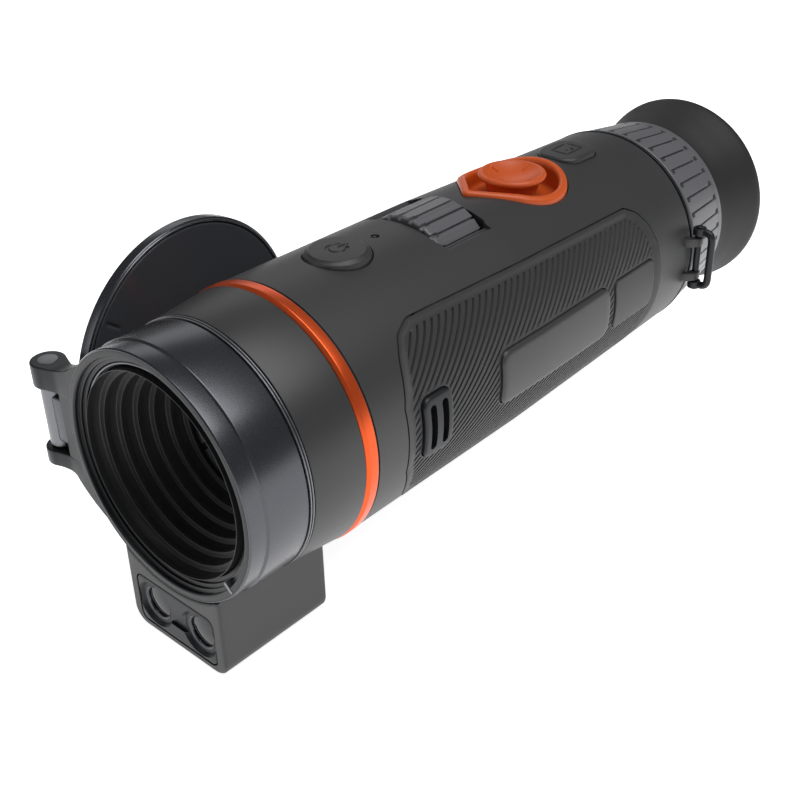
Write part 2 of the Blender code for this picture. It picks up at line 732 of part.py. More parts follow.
def main_housing():
    body = shell_ring("main_housing", -HOUSING_WALL, 0)
    pad = plate(
        "pad",
        rounded(PAD_HALF_X, PAD_HALF_Y, 3, at=(0, PAD_Y)),
        PAD_Z,
        -(HOUSING_MID_R - HOUSING_WALL) - 0.6,
        "Z",
    )
    lugs = []
    for side in (-1, 1):
        lug = plate(
            f"strap_lug_{side}",
            [(HOUSING_REAR_R + dx, HOUSING_Y1 + dy) for dx, dy in STRAP_LUG],
            side * STRAP_LUG_Z - 1.2,
            side * STRAP_LUG_Z + 1.2,
            "Z",
        )
        lugs.append(lug)
    join(body, pad, *lugs)
    strap_hole = rod("strap_hole", STRAP_PIN_R + RUN, -9, 9, "Z", STRAP_PIN, TINY_STEPS)
    low, high = HOUSING_MID_R - 3 * HOUSING_WALL, HOUSING_FRONT_R + BEYOND
    power_hole = rod("power_hole", POWER_R + GAP, low, high, "Z", (0, POWER_Y, 0))
    led_hole = rod("led_hole", LED_R + 0.2, low, high, "Z", (0, LED_Y, 0), TINY_STEPS)
    wheel_hole = plate(
        "wheel_hole",
        rounded(WINDOW_HALF_X, WHEEL_LENGTH / 2 + 1.0, 1.5, at=(0, WHEEL_Y)),
        SCOOP_Z - 4,
        high,
        "Z",
    )
    wheel_room = rod(
        "wheel_room",
        WHEEL_R + 0.6,
        WHEEL_Y - WHEEL_LENGTH / 2 - 0.7,
        WHEEL_Y + WHEEL_LENGTH / 2 + 0.7,
        "Y",
        (0, 0, WHEEL_Z),
    )
    scoop = rod(
        "wheel_scoop",
        SCOOP_R,
        WHEEL_Y - WHEEL_LENGTH / 2 - 0.3,
        WHEEL_Y + WHEEL_LENGTH / 2 + 0.3,
        "Y",
        (0, 0, SCOOP_R + SCOOP_Z),
        3 * BIG_STEPS,
    )
    joystick_hole = plate(
        "joystick_hole", teardrop(RIM_R + GAP, RIM_APEX_Y - GAP), low, high, "Z"
    )
    camera_hole = plate(
        "camera_hole",
        rounded(
            CAMERA_HALF_X + GAP, CAMERA_HALF_Y + GAP, CAMERA_CORNER + GAP, at=(0, CAMERA_Y), steps=6
        ),
        low,
        high,
        "Z",
    )
    insert_hole = rod(
        "insert_hole", INSERT_R + GAP, PAD_Z - 1, PAD_Z + BEYOND, "Z", (0, PAD_Y + INSERT_Y, 0)
    )
    pockets = []
    for side in (1, -1):
        pocket = side_panel(
            f"grip_pocket_{side}", grown(GRIP_OUTLINE, GAP), -GRIP_DEPTH - GAP, 4, side
        )
        pockets.append(bake(pocket))
    port_y = (PORT_Y0 + PORT_Y1) / 2
    port_hole = block(
        "port_hole", (HOUSING_REAR_R - BEYOND, port_y - 6.1, -4.0), (high, port_y + 6.1, 4.0)
    )
    for hole in pockets:
        cut(body, hole)
    cut(
        body,
        strap_hole,
        power_hole,
        led_hole,
        scoop,
        wheel_hole,
        wheel_room,
        joystick_hole,
        camera_hole,
        insert_hole,
        port_hole,
    )
    finish(body, "matt_housing", smooth=30)

    insert = turned(
        "tripod_insert",
        [(INSERT_R, 0.2), (INSERT_R, 6.0), (3.2, 6.0), (3.2, 0.2)],
        axis="Z",
        at=(0, PAD_Y + INSERT_Y, PAD_Z),
        steps=SMALL_STEPS,
    )
    finish(insert, "brass")


def grips():
    for side, name in ((1, "grip_right"), (-1, "grip_left")):
        grip = side_panel(name, GRIP_OUTLINE, -GRIP_DEPTH, GRIP_PROUD, side)
        if side > 0:
            for outline in (PLATE_OUTLINE, PORT_OUTLINE, ANCHOR_OUTLINE):
                deep = 1.3 if outline is PLATE_OUTLINE else 4
                room = side_panel(name + "_room", grown(outline, GAP), -deep, 4)
                cut(grip, bake(room))
        finish(grip, "grip_rubber")
    finish(side_panel("name_plate", PLATE_OUTLINE, -1.0, GRIP_PROUD + 0.5), "matt_housing")
    anchor = side_panel("strap_anchor", ANCHOR_OUTLINE, -1.7, GRIP_PROUD + 0.4)
    for dy in (-ANCHOR_SLOT_Y, ANCHOR_SLOT_Y):
        slot = plate(
            f"strap_slot{dy}",
            rounded(ANCHOR_SLOT_HALF, ANCHOR_HALF_Z - 2.2, 0.9, at=(ANCHOR_Y + dy, 0)),
            HOUSING_REAR_R - BEYOND,
            HOUSING_FRONT_R + BEYOND,
            "X",
        )
        cut(anchor, slot)
    finish(anchor, "satin_metal")
    cover = side_panel("port_cover", PORT_OUTLINE, -1.6, GRIP_PROUD + 0.1)
    finish(cover, "grip_rubber", (housing_r(PORT_Y0) + GRIP_PROUD + 0.1, PORT_Y0, 0))
    port_y = (PORT_Y0 + PORT_Y1) / 2
    back_x, front_x = HOUSING_REAR_R - 9.2, HOUSING_REAR_R - 2.1
    socket = block("port_socket", (back_x, port_y - 4.6, -1.8), (front_x, port_y + 4.6, 1.8))
    mouth = block("port_mouth", (back_x + 2, port_y - 4.1, -1.3), (front_x + 2, port_y + 4.1, 1.3))
    cut(socket, mouth)
    finish(socket, "bright_metal")


def top_controls():
    surface = housing_r(POWER_Y)
    stem_z = HOUSING_MID_R - 4.6
    power = turned(
        "power_button",
        [
            (0, surface + 1.5),
            (POWER_R * 0.6, surface + 1.3),
            (POWER_R - 0.8, surface + 0.7),
            (POWER_R, surface - 0.3),
            (POWER_R, surface - 3.4),
            (2.0, surface - 3.4),
            (2.0, stem_z),
            (0, stem_z),
        ],
        axis="Z",
        at=(0, POWER_Y, 0),
        steps=32,
    )
    finish(power, "rubber")
    top_z = stem_z - STEM_GAP
    front_board = block(
        "button_board_front", (-8, POWER_Y - 2.3, top_z - BOARD_THICK), (8, LED_Y + 4, top_z)
    )
    finish(front_board, "board")
    led_top = housing_r(LED_Y) - 0.1
    led = rod("status_light", LED_R, top_z + 0.4, led_top, "Z", (0, LED_Y, 0), TINY_STEPS)
    finish(led, "led")

    body_z = HOUSING_MID_R - 5.0
    camera = plate(
        "camera_button",
        rounded(CAMERA_HALF_X, CAMERA_HALF_Y, CAMERA_CORNER, at=(0, CAMERA_Y), steps=6),
        body_z,
        housing_r(CAMERA_Y) + 1.1,
        "Z",
    )
    round_edges(camera, 0.7)
    stem_z = body_z - 1.2
    join(camera, rod("camera_stem", 2.0, stem_z, body_z + 0.8, "Z", (0, CAMERA_Y, 0)))
    finish(camera, "rubber")
    top_z = stem_z - STEM_GAP - 0.1
    rear_board = block(
        "button_board_rear", (-7, CAMERA_Y - 9, top_z - BOARD_THICK), (7, CAMERA_Y + 8.5, top_z)
    )
    finish(rear_board, "board")

    low = WHEEL_Y - WHEEL_LENGTH / 2
    high = WHEEL_Y + WHEEL_LENGTH / 2
    outline = []
    for rib in range(WHEEL_RIBS):
        for share, depth in ((-0.36, 0), (0.36, 0), (0.42, WHEEL_SLOT), (0.58, WHEEL_SLOT)):
            angle = (rib + share) * 2 * math.pi / WHEEL_RIBS
            radius = WHEEL_R - depth
            outline.append((radius * math.cos(angle), WHEEL_Z + radius * math.sin(angle)))
    wheel = plate("focus_wheel", outline, low, high, "Y")
    bore = rod("wheel_bore", SHAFT_R + RUN, low - 1, high + 1, "Y", (0, 0, WHEEL_Z), TINY_STEPS)
    cut(wheel, bore)
    axis = (0, WHEEL_Y, WHEEL_Z)
    finish(wheel, "satin_metal", axis)
    shaft = rod(
        "focus_shaft", SHAFT_R, CARRIAGE_Y0 + 0.5, WHEEL_Y + 15.5, "Y", (0, 0, WHEEL_Z), TINY_STEPS
    )
    finish(shaft, "bright_metal", axis)


def joystick():
    high = HOUSING_FRONT_R + BEYOND
    rim_ring = shell_ring("joystick_rim", -9, RIM_PROUD, RIM_APEX_Y - 4, JOY_Y + RIM_R + 4)
    rim_outline = plate("rim_outline", teardrop(RIM_R, RIM_APEX_Y), RIM_FLOOR_Z, high, "Z")
    combine(rim_ring, "INTERSECT", rim_outline)
    inner = teardrop(RIM_R - RIM_WIDTH, RIM_APEX_Y + 4.2)
    hollow = plate("rim_hollow", inner, RIM_FLOOR_Z + 1.5, high + 1, "Z")
    stem_hole = rod(
        "rim_stem_hole", JOY_STEM_R + 2, RIM_FLOOR_Z - BEYOND, RIM_FLOOR_Z + BEYOND, "Z", (0, JOY_Y, 0)
    )
    cut(rim_ring, hollow, stem_hole)
    finish(rim_ring, "orange_plastic")

    pivot = (0, JOY_Y, JOY_PIVOT_Z)
    knob = turned(
        "joystick_knob",
        [
            (0, JOY_TOP_Z - 1.5),
            (JOY_R - 4.5, JOY_TOP_Z - 1.2),
            (JOY_R - 1.9, JOY_TOP_Z - 0.2),
            (JOY_R - 1.2, JOY_TOP_Z),
            (JOY_R - 0.3, JOY_TOP_Z - 0.5),
            (JOY_R, JOY_TOP_Z - 1.4),
            (JOY_R - 1.6, JOY_TOP_Z - 5),
            (JOY_STEM_R, JOY_TOP_Z - 5),
            (JOY_STEM_R, JOY_PIVOT_Z - 2.2),
            (0, JOY_PIVOT_Z - 2.2),
        ],
        axis="Z",
        at=(0, JOY_Y, 0),
        steps=32,
    )
    finish(knob, "orange_plastic", pivot)
    low, high = JOY_PIVOT_Z - 1.2, JOY_PIVOT_Z + 1.2
    yoke_r = JOY_STEM_R + 0.2
    for name, inner in (("joystick_yoke", yoke_r), ("joystick_gimbal", yoke_r + 1.6)):
        outer = inner + 1.2
        ring = turned(
            name,
            [(outer, high), (outer, low), (inner, low), (inner, high)][::-1],
            axis="Z",
            at=(0, JOY_Y, 0),
            steps=SMALL_STEPS,
        )
        finish(ring, "satin_metal", pivot)
    base_top = RIM_FLOOR_Z - GAP
    base_low = JOY_PIVOT_Z - 6.2
    base_r, base_wall = 9.0, 1.4
    base = turned(
        "joystick_base",
        [
            (base_r, base_top),
            (base_r, base_low),
            (0, base_low),
            (0, base_low + base_wall),
            (base_r - base_wall, base_low + base_wall),
            (base_r - base_wall, base_top),
        ][::-1],
        axis="Z",
        at=(0, JOY_Y, 0),
        steps=SMALL_STEPS,
    )
    finish(base, "gloss_plastic")


def inside():
    chassis_r = housing_r(WALL_Y) - HOUSING_WALL - 0.5
    wall_y1 = WALL_Y + 2.4
    chassis = rod("chassis", chassis_r, WALL_Y, wall_y1, steps=48)
    tray = block("tray", (-18, WALL_Y + 1, -2.8), (18, WALL_Y + 96, -1.0))
    post_y = WHEEL_Y + 13
    post = block("shaft_post", (-4, post_y - 1.9, -1.6), (4, post_y + 1.9, WHEEL_Z + 4))
    sight = rod("sight", 9, WALL_Y - 1, WALL_Y + 3)
    room = CORE_HALF + 0.6
    core_room = block(
        "core_room", (-room, wall_y1, -room - 0.4), (room, CORE_Y1 + 0.6, room + 0.4)
    )
    shaft_hole = rod(
        "shaft_hole", SHAFT_R + RUN, WALL_Y - BEYOND, post_y + BEYOND, "Y", (0, 0, WHEEL_Z), TINY_STEPS
    )
    join(chassis, tray, post)
    cut(chassis, sight, core_room, shaft_hole)
    finish(chassis, "satin_metal")
    shutter = rod("shutter_frame", GUIDE_R + 2, GUIDE_Y1 + 0.3, WALL_Y - GAP)
    cut(shutter, rod("shutter_sight", 8, GUIDE_Y1 - 1, WALL_Y + 1))
    finish(shutter, "gloss_plastic")
    core = block(
        "sensor_core",
        (-CORE_HALF, wall_y1 + GAP, -CORE_HALF),
        (CORE_HALF, CORE_Y1, CORE_HALF),
        0.8,
        1,
    )
    sensor_window = block("sensor_window", (-6, WALL_Y - 4, -5), (6, WALL_Y + 4, 5))
    cut(core, sensor_window)
    finish(core, "satin_metal")
    board_y = CORE_Y1 + 3
    board = block("main_board", (-17, board_y, 0.4), (17, board_y + 76, 2.0))
    chips = [
        block("chip_a", (-7, board_y + 34, 1.6), (7, board_y + 48, 3.6)),
        block("chip_b", (5, board_y + 2, 1.6), (13, board_y + 8, 3.4)),
        block("chip_c", (-13, board_y + 56, 1.6), (-3, board_y + 66, 3.2)),
    ]
    join(board, *chips)
    cut(board, block("post_room", (-4.4, post_y - 2.3, -1), (4.4, post_y + 2.3, 5)))
    finish(board, "board")
    battery_y1 = BATTERY_Y0 + BATTERY_LENGTH
    at = (0, 0, BATTERY_Z)
    finish(rod("battery_cell", BATTERY_R, BATTERY_Y0, battery_y1, "Y", at), "cell_wrap")
    cradle = rod("battery_cradle", BATTERY_R + 1.8, BATTERY_Y0 - 2, battery_y1 + 2, "Y", at)
    room = rod("cradle_room", BATTERY_R + GAP, BATTERY_Y0 - 0.5, battery_y1 + 0.5, "Y", at)
    opening = block(
        "cradle_open",
        (-2 * BATTERY_R, BATTERY_Y0 - BEYOND, BATTERY_Z + 1),
        (2 * BATTERY_R, battery_y1 + BEYOND, BATTERY_Z + 2.5 * BATTERY_R),
    )
    cut(cradle, room, opening)
    finish(cradle, "gloss_plastic")
    holder = block(
        "display_holder", (-15, DISPLAY_Y0, -12), (15, DISPLAY_Y0 + 10, 12), 1.2, 2
    )
    display_y = DISPLAY_Y0 + 4
    cut(holder, block("holder_room", (-11.4, display_y, -8.9), (11.4, display_y + BEYOND, 8.9)))
    finish(holder, "gloss_plastic")
    display = block("display", (-11, display_y + 0.4, -8.5), (11, display_y + 4.4, 8.5))
    finish(display, "gloss_plastic")


def eyepiece():
    collar_r = HOUSING_REAR_R - HOUSING_WALL - GAP
    flange_y = TUBE_Y0 + TUBE_FLANGE
    collar = [
        (HOUSING_REAR_R + 0.1, COLLAR_Y1),
        (HOUSING_REAR_R + 0.1, COLLAR_Y0),
        (collar_r, COLLAR_Y0),
        (collar_r, flange_y + GAP),
        (TUBE_R + GAP, flange_y + GAP),
        (TUBE_R + GAP, COLLAR_Y1),
    ]
    finish(turned("rear_collar", collar[::-1]), "satin_metal")
    tube = [
        (TUBE_R, DIOPTER_Y1),
        (TUBE_R, flange_y),
        (collar_r, flange_y),
        (collar_r, TUBE_Y0),
        (CELL_R + 0.4, TUBE_Y0),
        (CELL_R + 0.4, DIOPTER_Y1),
    ]
    finish(turned("eyepiece_tube", tube[::-1]), "gloss_plastic")
    ring = turned(
        "diopter_ring",
        [
            (DIOPTER_REAR_R - 0.8, DIOPTER_Y1),
            (DIOPTER_REAR_R, DIOPTER_Y1 - 0.8),
            (DIOPTER_REAR_R + 0.3, DIOPTER_Y1 - 3.6),
            (DIOPTER_FRONT_R, DIOPTER_Y0 + 1.0),
            (DIOPTER_FRONT_R - 0.5, DIOPTER_Y0),
            (DIOPTER_BORE, DIOPTER_Y0),
            (DIOPTER_BORE, DIOPTER_Y1),
        ][::-1],
    )
    rib_length = DIOPTER_Y1 - DIOPTER_Y0 - 4.6
    slope = math.atan2(DIOPTER_FRONT_R - DIOPTER_REAR_R, rib_length)

    def grooves(shape):
        for rib in range(DIOPTER_RIBS):
            radius = (DIOPTER_FRONT_R + DIOPTER_REAR_R) / 2 + 0.6
            place = (
                Matrix.Rotation((rib + 0.5) * 2 * math.pi / DIOPTER_RIBS, 4, "Y")
                @ Matrix.Translation((0, (DIOPTER_Y0 + DIOPTER_Y1) / 2 - 1.5, radius))
                @ Matrix.Rotation(-slope, 4, "X")
                @ Matrix.Diagonal((1.2, rib_length - 0.8, 2.8, 1))
            )
            bmesh.ops.create_cube(shape, size=1.0, matrix=place)

    cut(ring, put("diopter_grooves", mesh_of(grooves)))
    finish(ring, "rubber", (0, (DIOPTER_Y0 + DIOPTER_Y1) / 2, 0), smooth=25)
    cell = [
        (CELL_R, CELL_Y0 + CELL_LENGTH),
        (CELL_R, CELL_Y0),
        (EYE_LENS_R + GAP, CELL_Y0),
        (EYE_LENS_R + GAP, CELL_Y0 + CELL_LENGTH),
    ]
    finish(turned("eyepiece_cell", cell[::-1], steps=SMALL_STEPS), "satin_metal")
    front_y, rear_y = CELL_Y0 + 1.5, CELL_Y0 + 14
    lens("eyepiece_lens_front", EYE_LENS_R, front_y, front_y + 3.5, 1.2, 0.6, "coated_glass")
    lens("eyepiece_lens_rear", EYE_LENS_R, rear_y, rear_y + 4, 1.0, 1.6, "coated_glass")
    cup_y = EYECUP_Y0
    cup = [
        (TUBE_R - 1.4, cup_y + 0.6),
        (TUBE_R - 1.4, cup_y),
        (DIOPTER_REAR_R - 2.6, cup_y),
        (DIOPTER_REAR_R - 2.0, cup_y + 3.4),
        (EYECUP_R - 2.2, cup_y + 8.4),
        (EYECUP_R, EYECUP_Y1 - 2.6),
        (EYECUP_R, EYECUP_Y1 - 0.8),
        (EYECUP_R - 0.8, EYECUP_Y1),
        (EYECUP_R - 1.7, EYECUP_Y1),
        (EYECUP_R - 2.6, EYECUP_Y1 - 1.6),
        (EYECUP_R - 5.0, cup_y + 8.0),
        (TUBE_R - 1.0, cup_y + 3.0),
    ]
    finish(turned("eyecup", cup[::-1]), "rubber")


def strap_ring():
    pin = STRAP_PIN
    half = STRAP_EYE_Z + 1.6
    finish(rod("strap_pin", STRAP_PIN_R, -half, half, "Z", pin, TINY_STEPS), "bright_metal", pin)
    curve = bpy.data.curves.new("loop", "CURVE")
    curve.dimensions = "3D"
    curve.bevel_depth = STRAP_WIRE_R
    curve.bevel_resolution = 3
    curve.use_fill_caps = True
    spline = curve.splines.new("POLY")
    eye_z = STRAP_EYE_Z
    reach = pin[0] + 4.2
    path = [
        (pin[0] + 0.6, eye_z),
        (reach - 1.3, eye_z),
        (reach - 0.5, eye_z - 0.4),
        (reach, eye_z - 1.4),
    ]
    path += [(x, -z) for x, z in reversed(path)]
    spline.points.add(len(path) - 1)
    for point, (x, z) in zip(spline.points, path):
        point.co = (x, pin[1], z, 1)
    loop_obj = bpy.data.objects.new("loop", curve)
    parts.objects.link(loop_obj)
    bpy.context.view_layer.update()
    graph = bpy.context.evaluated_depsgraph_get()
    mesh = bpy.data.meshes.new_from_object(loop_obj.evaluated_get(graph))
    bpy.data.objects.remove(loop_obj)
    ring = cleaned(put("strap_ring", mesh))
    for side in (-1, 1):
        eye = rod(
            f"strap_eye_{side}", 1.9, side * eye_z - 1.1, side * eye_z + 1.1, "Z", pin, TINY_STEPS
        )
        join(ring, eye)
    cut(ring, rod("strap_eye_hole", STRAP_PIN_R + RUN, -half - 1, half + 1, "Z", pin, TINY_STEPS))
    finish(ring, "satin_metal", pin)


def rangefinder():
    top_z = 7.4 - BARREL_R
    outline = [(RANGE_HALF_X, top_z), (-RANGE_HALF_X, top_z)]
    for side, first in ((-1, math.pi), (1, 1.5 * math.pi)):
        for step in range(6):
            angle = first + step * math.pi / 10
            x = side * (RANGE_HALF_X - RANGE_CORNER) + RANGE_CORNER * math.cos(angle)
            z = RANGE_BOTTOM_Z + RANGE_CORNER * (1 + math.sin(angle))
            outline.append((x, z))
    body = plate("range_block", outline, RANGE_Y0, RANGE_Y1, "Y")
    round_edges(body, 0.7, 2, 40)
    saddle = turned(
        "range_saddle",
        [
            (0, -3),
            (BRACKET_R + GAP, -3),
            (BRACKET_R + GAP, BRACKET_Y1),
            (BARREL_R + GAP, BRACKET_Y1),
            (BARREL_R + GAP, BARREL_Y1),
            (BARREL_R + 2 * GAP, BARREL_Y1),
            (BARREL_R + 2 * GAP, GROOVE_Y1),
            (HOUSING_FRONT_R + GAP, LENS_HOUSING_Y1),
            (HOUSING_FRONT_R + 2 * GAP, LENS_HOUSING_Y1),
            (HOUSING_FRONT_R + 2 * GAP, RANGE_Y1 + BEYOND),
            (0, RANGE_Y1 + BEYOND),
        ][::-1],
    )
    inner_x = RANGE_HALF_X - RANGE_WALL
    half_x = RANGE_HALF_X - 3.0
    half_z = (RANGE_FACE_TOP_Z - RANGE_BOTTOM_Z - RANGE_WALL) / 2 - 0.05
    middle_z = (RANGE_BOTTOM_Z + RANGE_WALL + RANGE_FACE_TOP_Z) / 2
    hollow = block(
        "range_hollow",
        (-inner_x, RANGE_Y0 - 1, RANGE_BOTTOM_Z + RANGE_WALL),
        (inner_x, RANGE_Y1 - RANGE_WALL, RANGE_FACE_TOP_Z - 2.5),
    )
    face_room = plate(
        "face_room",
        rounded(half_x + GAP, half_z + GAP, 2.4, at=(0, middle_z)),
        RANGE_Y0 - 1,
        RANGE_Y0 + 2.0,
        "Y",
    )
    screws = []
    hole_r = SCREW_HEAD_R + GAP
    for y, name in RANGE_SCREWS:
        low, high = RANGE_BOTTOM_Z - 1, RANGE_BOTTOM_Z + 1.4
        screws.append(rod(name + "_hole", hole_r, low, high, "Z", (0, y, 0)))
    cut(body, saddle, hollow, face_room, *screws)
    finish(body, "matt_housing")
    for y, name in RANGE_SCREWS:
        head = rod(name, SCREW_HEAD_R, RANGE_BOTTOM_Z + 0.1, RANGE_BOTTOM_Z + 1.1, "Z", (0, y, 0))
        low, high = RANGE_BOTTOM_Z - 1, RANGE_BOTTOM_Z + 0.7
        socket = rod(name + "_hex", 0.9, low, high, "Z", (0, y, 0), 6)
        cut(head, socket)
        finish(head, "satin_metal")

    bezel = plate(
        "range_bezel", rounded(half_x, half_z, 2.2, at=(0, middle_z)), RANGE_Y0, RANGE_Y0 + 1.7, "Y"
    )
    trough_y = RANGE_Y0 + RANGE_TROUGH
    windows = [
        block(
            "bezel_trough",
            (-RANGE_LENS_X, RANGE_Y0 - 1, RANGE_LENS_Z - 2.6),
            (RANGE_LENS_X, trough_y, RANGE_LENS_Z + 2.6),
        ),
    ]
    for side in (-1, 1):
        at = (side * RANGE_LENS_X, 0, RANGE_LENS_Z)
        rim_r = RANGE_LENS_R + 0.9
        windows.append(rod(f"bezel_round{side}", rim_r, RANGE_Y0 - 1, trough_y, "Y", at))
        windows.append(rod(f"bezel_hole{side}", RANGE_LENS_R, RANGE_Y0 - 2, RANGE_Y0 + 3, "Y", at))
    cut(bezel, *windows)
    finish(bezel, "satin_metal")
    for side, name in ((-1, "range_lens_left"), (1, "range_lens_right")):
        lens(
            name,
            RANGE_LENS_R - GAP,
            RANGE_Y0 + 1.2,
            RANGE_Y0 + 3.4,
            0.5,
            0.2,
            "coated_glass",
            at=(side * RANGE_LENS_X, 0, RANGE_LENS_Z),
            steps=20,
        )
    module = block(
        "range_module",
        (0.9 - inner_x, RANGE_Y0 + 3.8, RANGE_BOTTOM_Z + RANGE_WALL + 0.9),
        (inner_x - 0.9, RANGE_Y1 - RANGE_WALL - 2.4, RANGE_FACE_TOP_Z - 3.8),
        0.6,
        1,
    )
    finish(module, "gloss_plastic")


def settle():
    """Moves everything so that the origin is the middle of the tripod pad's face."""
    shift = Vector((0, -PAD_Y, -PAD_Z)) * MM
    for obj in list(parts.objects) + list(cutters.objects):
        obj.location += shift
    bpy.context.view_layer.update()


start()
cover_and_hinge()
objective()
main_housing()
grips()
top_controls()
joystick()
inside()
eyepiece()
strap_ring()
rangefinder()
settle()
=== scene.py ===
# %% [markdown]
# # A handheld thermal monocular, built on its CAD frame
# The camera is a tube about 219 mm long: a dark lens barrel at the front, a moulded grip body in the
# middle and a rubber eyecup at the rear. A lens cover is hinged beside the barrel, and a rangefinder
# block hangs below it. Each cell makes one piece or one finish. Shapes are worked out in millimetres
# from the optical axis, because every ring and button is measured from it, and moved to the frame last.

# %% Load the frame
import math

import bmesh
import bpy
import numpy as np
from mathutils import Matrix, Vector


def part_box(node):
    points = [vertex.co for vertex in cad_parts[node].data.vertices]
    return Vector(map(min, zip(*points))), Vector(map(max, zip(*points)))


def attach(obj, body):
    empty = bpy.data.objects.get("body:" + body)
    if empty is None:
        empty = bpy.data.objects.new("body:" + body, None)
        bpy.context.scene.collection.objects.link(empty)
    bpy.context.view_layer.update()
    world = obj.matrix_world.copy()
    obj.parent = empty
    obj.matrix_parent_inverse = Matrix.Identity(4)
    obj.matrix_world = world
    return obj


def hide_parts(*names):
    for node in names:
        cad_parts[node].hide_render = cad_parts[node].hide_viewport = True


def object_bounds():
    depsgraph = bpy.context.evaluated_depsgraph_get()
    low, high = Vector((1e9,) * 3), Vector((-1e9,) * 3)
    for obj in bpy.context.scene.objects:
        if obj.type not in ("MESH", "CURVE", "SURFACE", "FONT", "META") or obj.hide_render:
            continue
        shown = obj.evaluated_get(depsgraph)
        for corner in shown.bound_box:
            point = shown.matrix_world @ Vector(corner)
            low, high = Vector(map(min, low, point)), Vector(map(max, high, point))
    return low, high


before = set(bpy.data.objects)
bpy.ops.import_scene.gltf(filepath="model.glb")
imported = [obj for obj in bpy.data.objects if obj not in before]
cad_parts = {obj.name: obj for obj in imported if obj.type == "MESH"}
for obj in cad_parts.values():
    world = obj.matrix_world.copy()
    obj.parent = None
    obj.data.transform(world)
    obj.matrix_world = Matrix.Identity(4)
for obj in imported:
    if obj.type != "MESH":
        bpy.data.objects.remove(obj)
cad_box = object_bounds()

# %% [markdown]
# ## Where the optical axis is
# The frame's origin is the tripod pad under the body. The barrel is round about the optical axis, so
# its box gives the axis height, and the cover bracket's box says where the camera starts.

# %% Optical axis, and boxes measured from it
MM = 0.001
TURN = 2 * math.pi
ROOT = "camera_body"
barrel_low, barrel_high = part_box("objective_barrel")
AXIS_Z = (barrel_low.z + barrel_high.z) / 2
BRACKET_DEPTH = 4.5
FRONT_Y = barrel_low.y - BRACKET_DEPTH * MM
ORIGIN = np.array([0.0, FRONT_Y, AXIS_Z])


def span(node):
    """A CAD node's lowest and highest corners, in millimetres from the optical axis at the front ring."""
    return [(np.array(corner) - ORIGIN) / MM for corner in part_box(node)]


print(f"axis {AXIS_Z / MM:.2f} mm above the pad, front ring at {FRONT_Y / MM:.2f} mm")

# %% [markdown]
# ## From a grid of points to a piece
# A numpy array holds every point of a surface, row by row. Neighbours in the grid become four-sided
# faces. Where a row shrinks to one point, or the first and last columns meet, the doubled points are
# merged, so that poles and seams are closed, and then all faces are turned outwards.


# %% Mesh from a grid
def grid_faces(rows, columns, ring):
    """Quads of a grid: point (i, j) joins (i+1, j), (i+1, j+1) and (i, j+1). Columns always close up, and
    rows close up on a ring."""
    i = np.arange(rows if ring else rows - 1)[:, None]
    j = np.arange(columns)[None, :]
    down = (i + 1) % rows
    right = (j + 1) % columns
    corners = [i * columns + j, down * columns + j, down * columns + right, i * columns + right]
    shape = (len(i), columns)
    return np.stack([np.broadcast_to(c, shape) for c in corners], -1).reshape(-1, 4)


def grid_mesh(name, grids, ring=False, sharp=38):
    """One mesh of these grids in millimetres from the axis, closed, facing out, smooth below the angle."""
    points, faces, count = [], [], 0
    for grid in grids:
        points.append(grid.reshape(-1, 3) * MM + ORIGIN)
        faces.append(grid_faces(*grid.shape[:2], ring) + count)
        count += len(points[-1])
    mesh = bpy.data.meshes.new(name)
    mesh.from_pydata(np.concatenate(points), [], np.concatenate(faces).tolist())
    shape = bmesh.new()
    shape.from_mesh(mesh)
    bmesh.ops.remove_doubles(shape, verts=shape.verts, dist=2e-6)
    bmesh.ops.recalc_face_normals(shape, faces=shape.faces)
    shape.to_mesh(mesh)
    shape.free()
    mesh.shade_smooth()
    mesh.set_sharp_from_angle(angle=math.radians(sharp))
    return mesh


def piece(name, grids, material, nodes=(), body=ROOT, ring=False, sharp=38):
    """A finished piece of one grid or several, riding on a body and standing for the CAD nodes."""
    grids = grids if isinstance(grids, list) else [grids]
    mesh = grid_mesh(name, grids, ring, sharp)
    mesh.materials.append(material)
    obj = bpy.data.objects.new(name, mesh)
    bpy.context.scene.collection.objects.link(obj)
    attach(obj, body)
    if nodes:
        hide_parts(*nodes)
    print(f"{name}: {len(mesh.polygons)} faces")
    return obj


# %% [markdown]
# ## Turned pieces and rounded corners
# Barrels, rings and lenses are turned on a lathe, so each is a profile carried round the axis. Real
# edges are never quite sharp: every corner of a profile is replaced by a small curve, which is what
# catches the light along a rim.


# %% Rounded profiles, turned on an axis
def softened(corners, radius, closed=True, steps=5):
    """Each corner becomes the curve (1-t)^2 a + 2t(1-t) corner + t^2 b, where a and b lie this radius along
    the two sides, or just under half a side. An open line keeps its two ends."""
    corner = np.asarray(corners, float)
    radius = np.broadcast_to(np.asarray(radius, float), (len(corner),))[:, None]
    t = np.linspace(0, 1, steps)[None, :, None]
    ends = []
    for shift in (1, -1):
        side = np.roll(corner, shift, axis=0) - corner
        length = np.maximum(np.linalg.norm(side, axis=1, keepdims=True), 1e-9)
        ends.append(side / length * np.minimum(radius, length * 0.49))
    if not closed:
        for end in ends:
            end[[0, -1]] = 0
    a, b = ((corner + end)[:, None] for end in ends)
    curve = (1 - t) ** 2 * a + 2 * t * (1 - t) * corner[:, None] + t**2 * b
    return curve.reshape(-1, corner.shape[1])


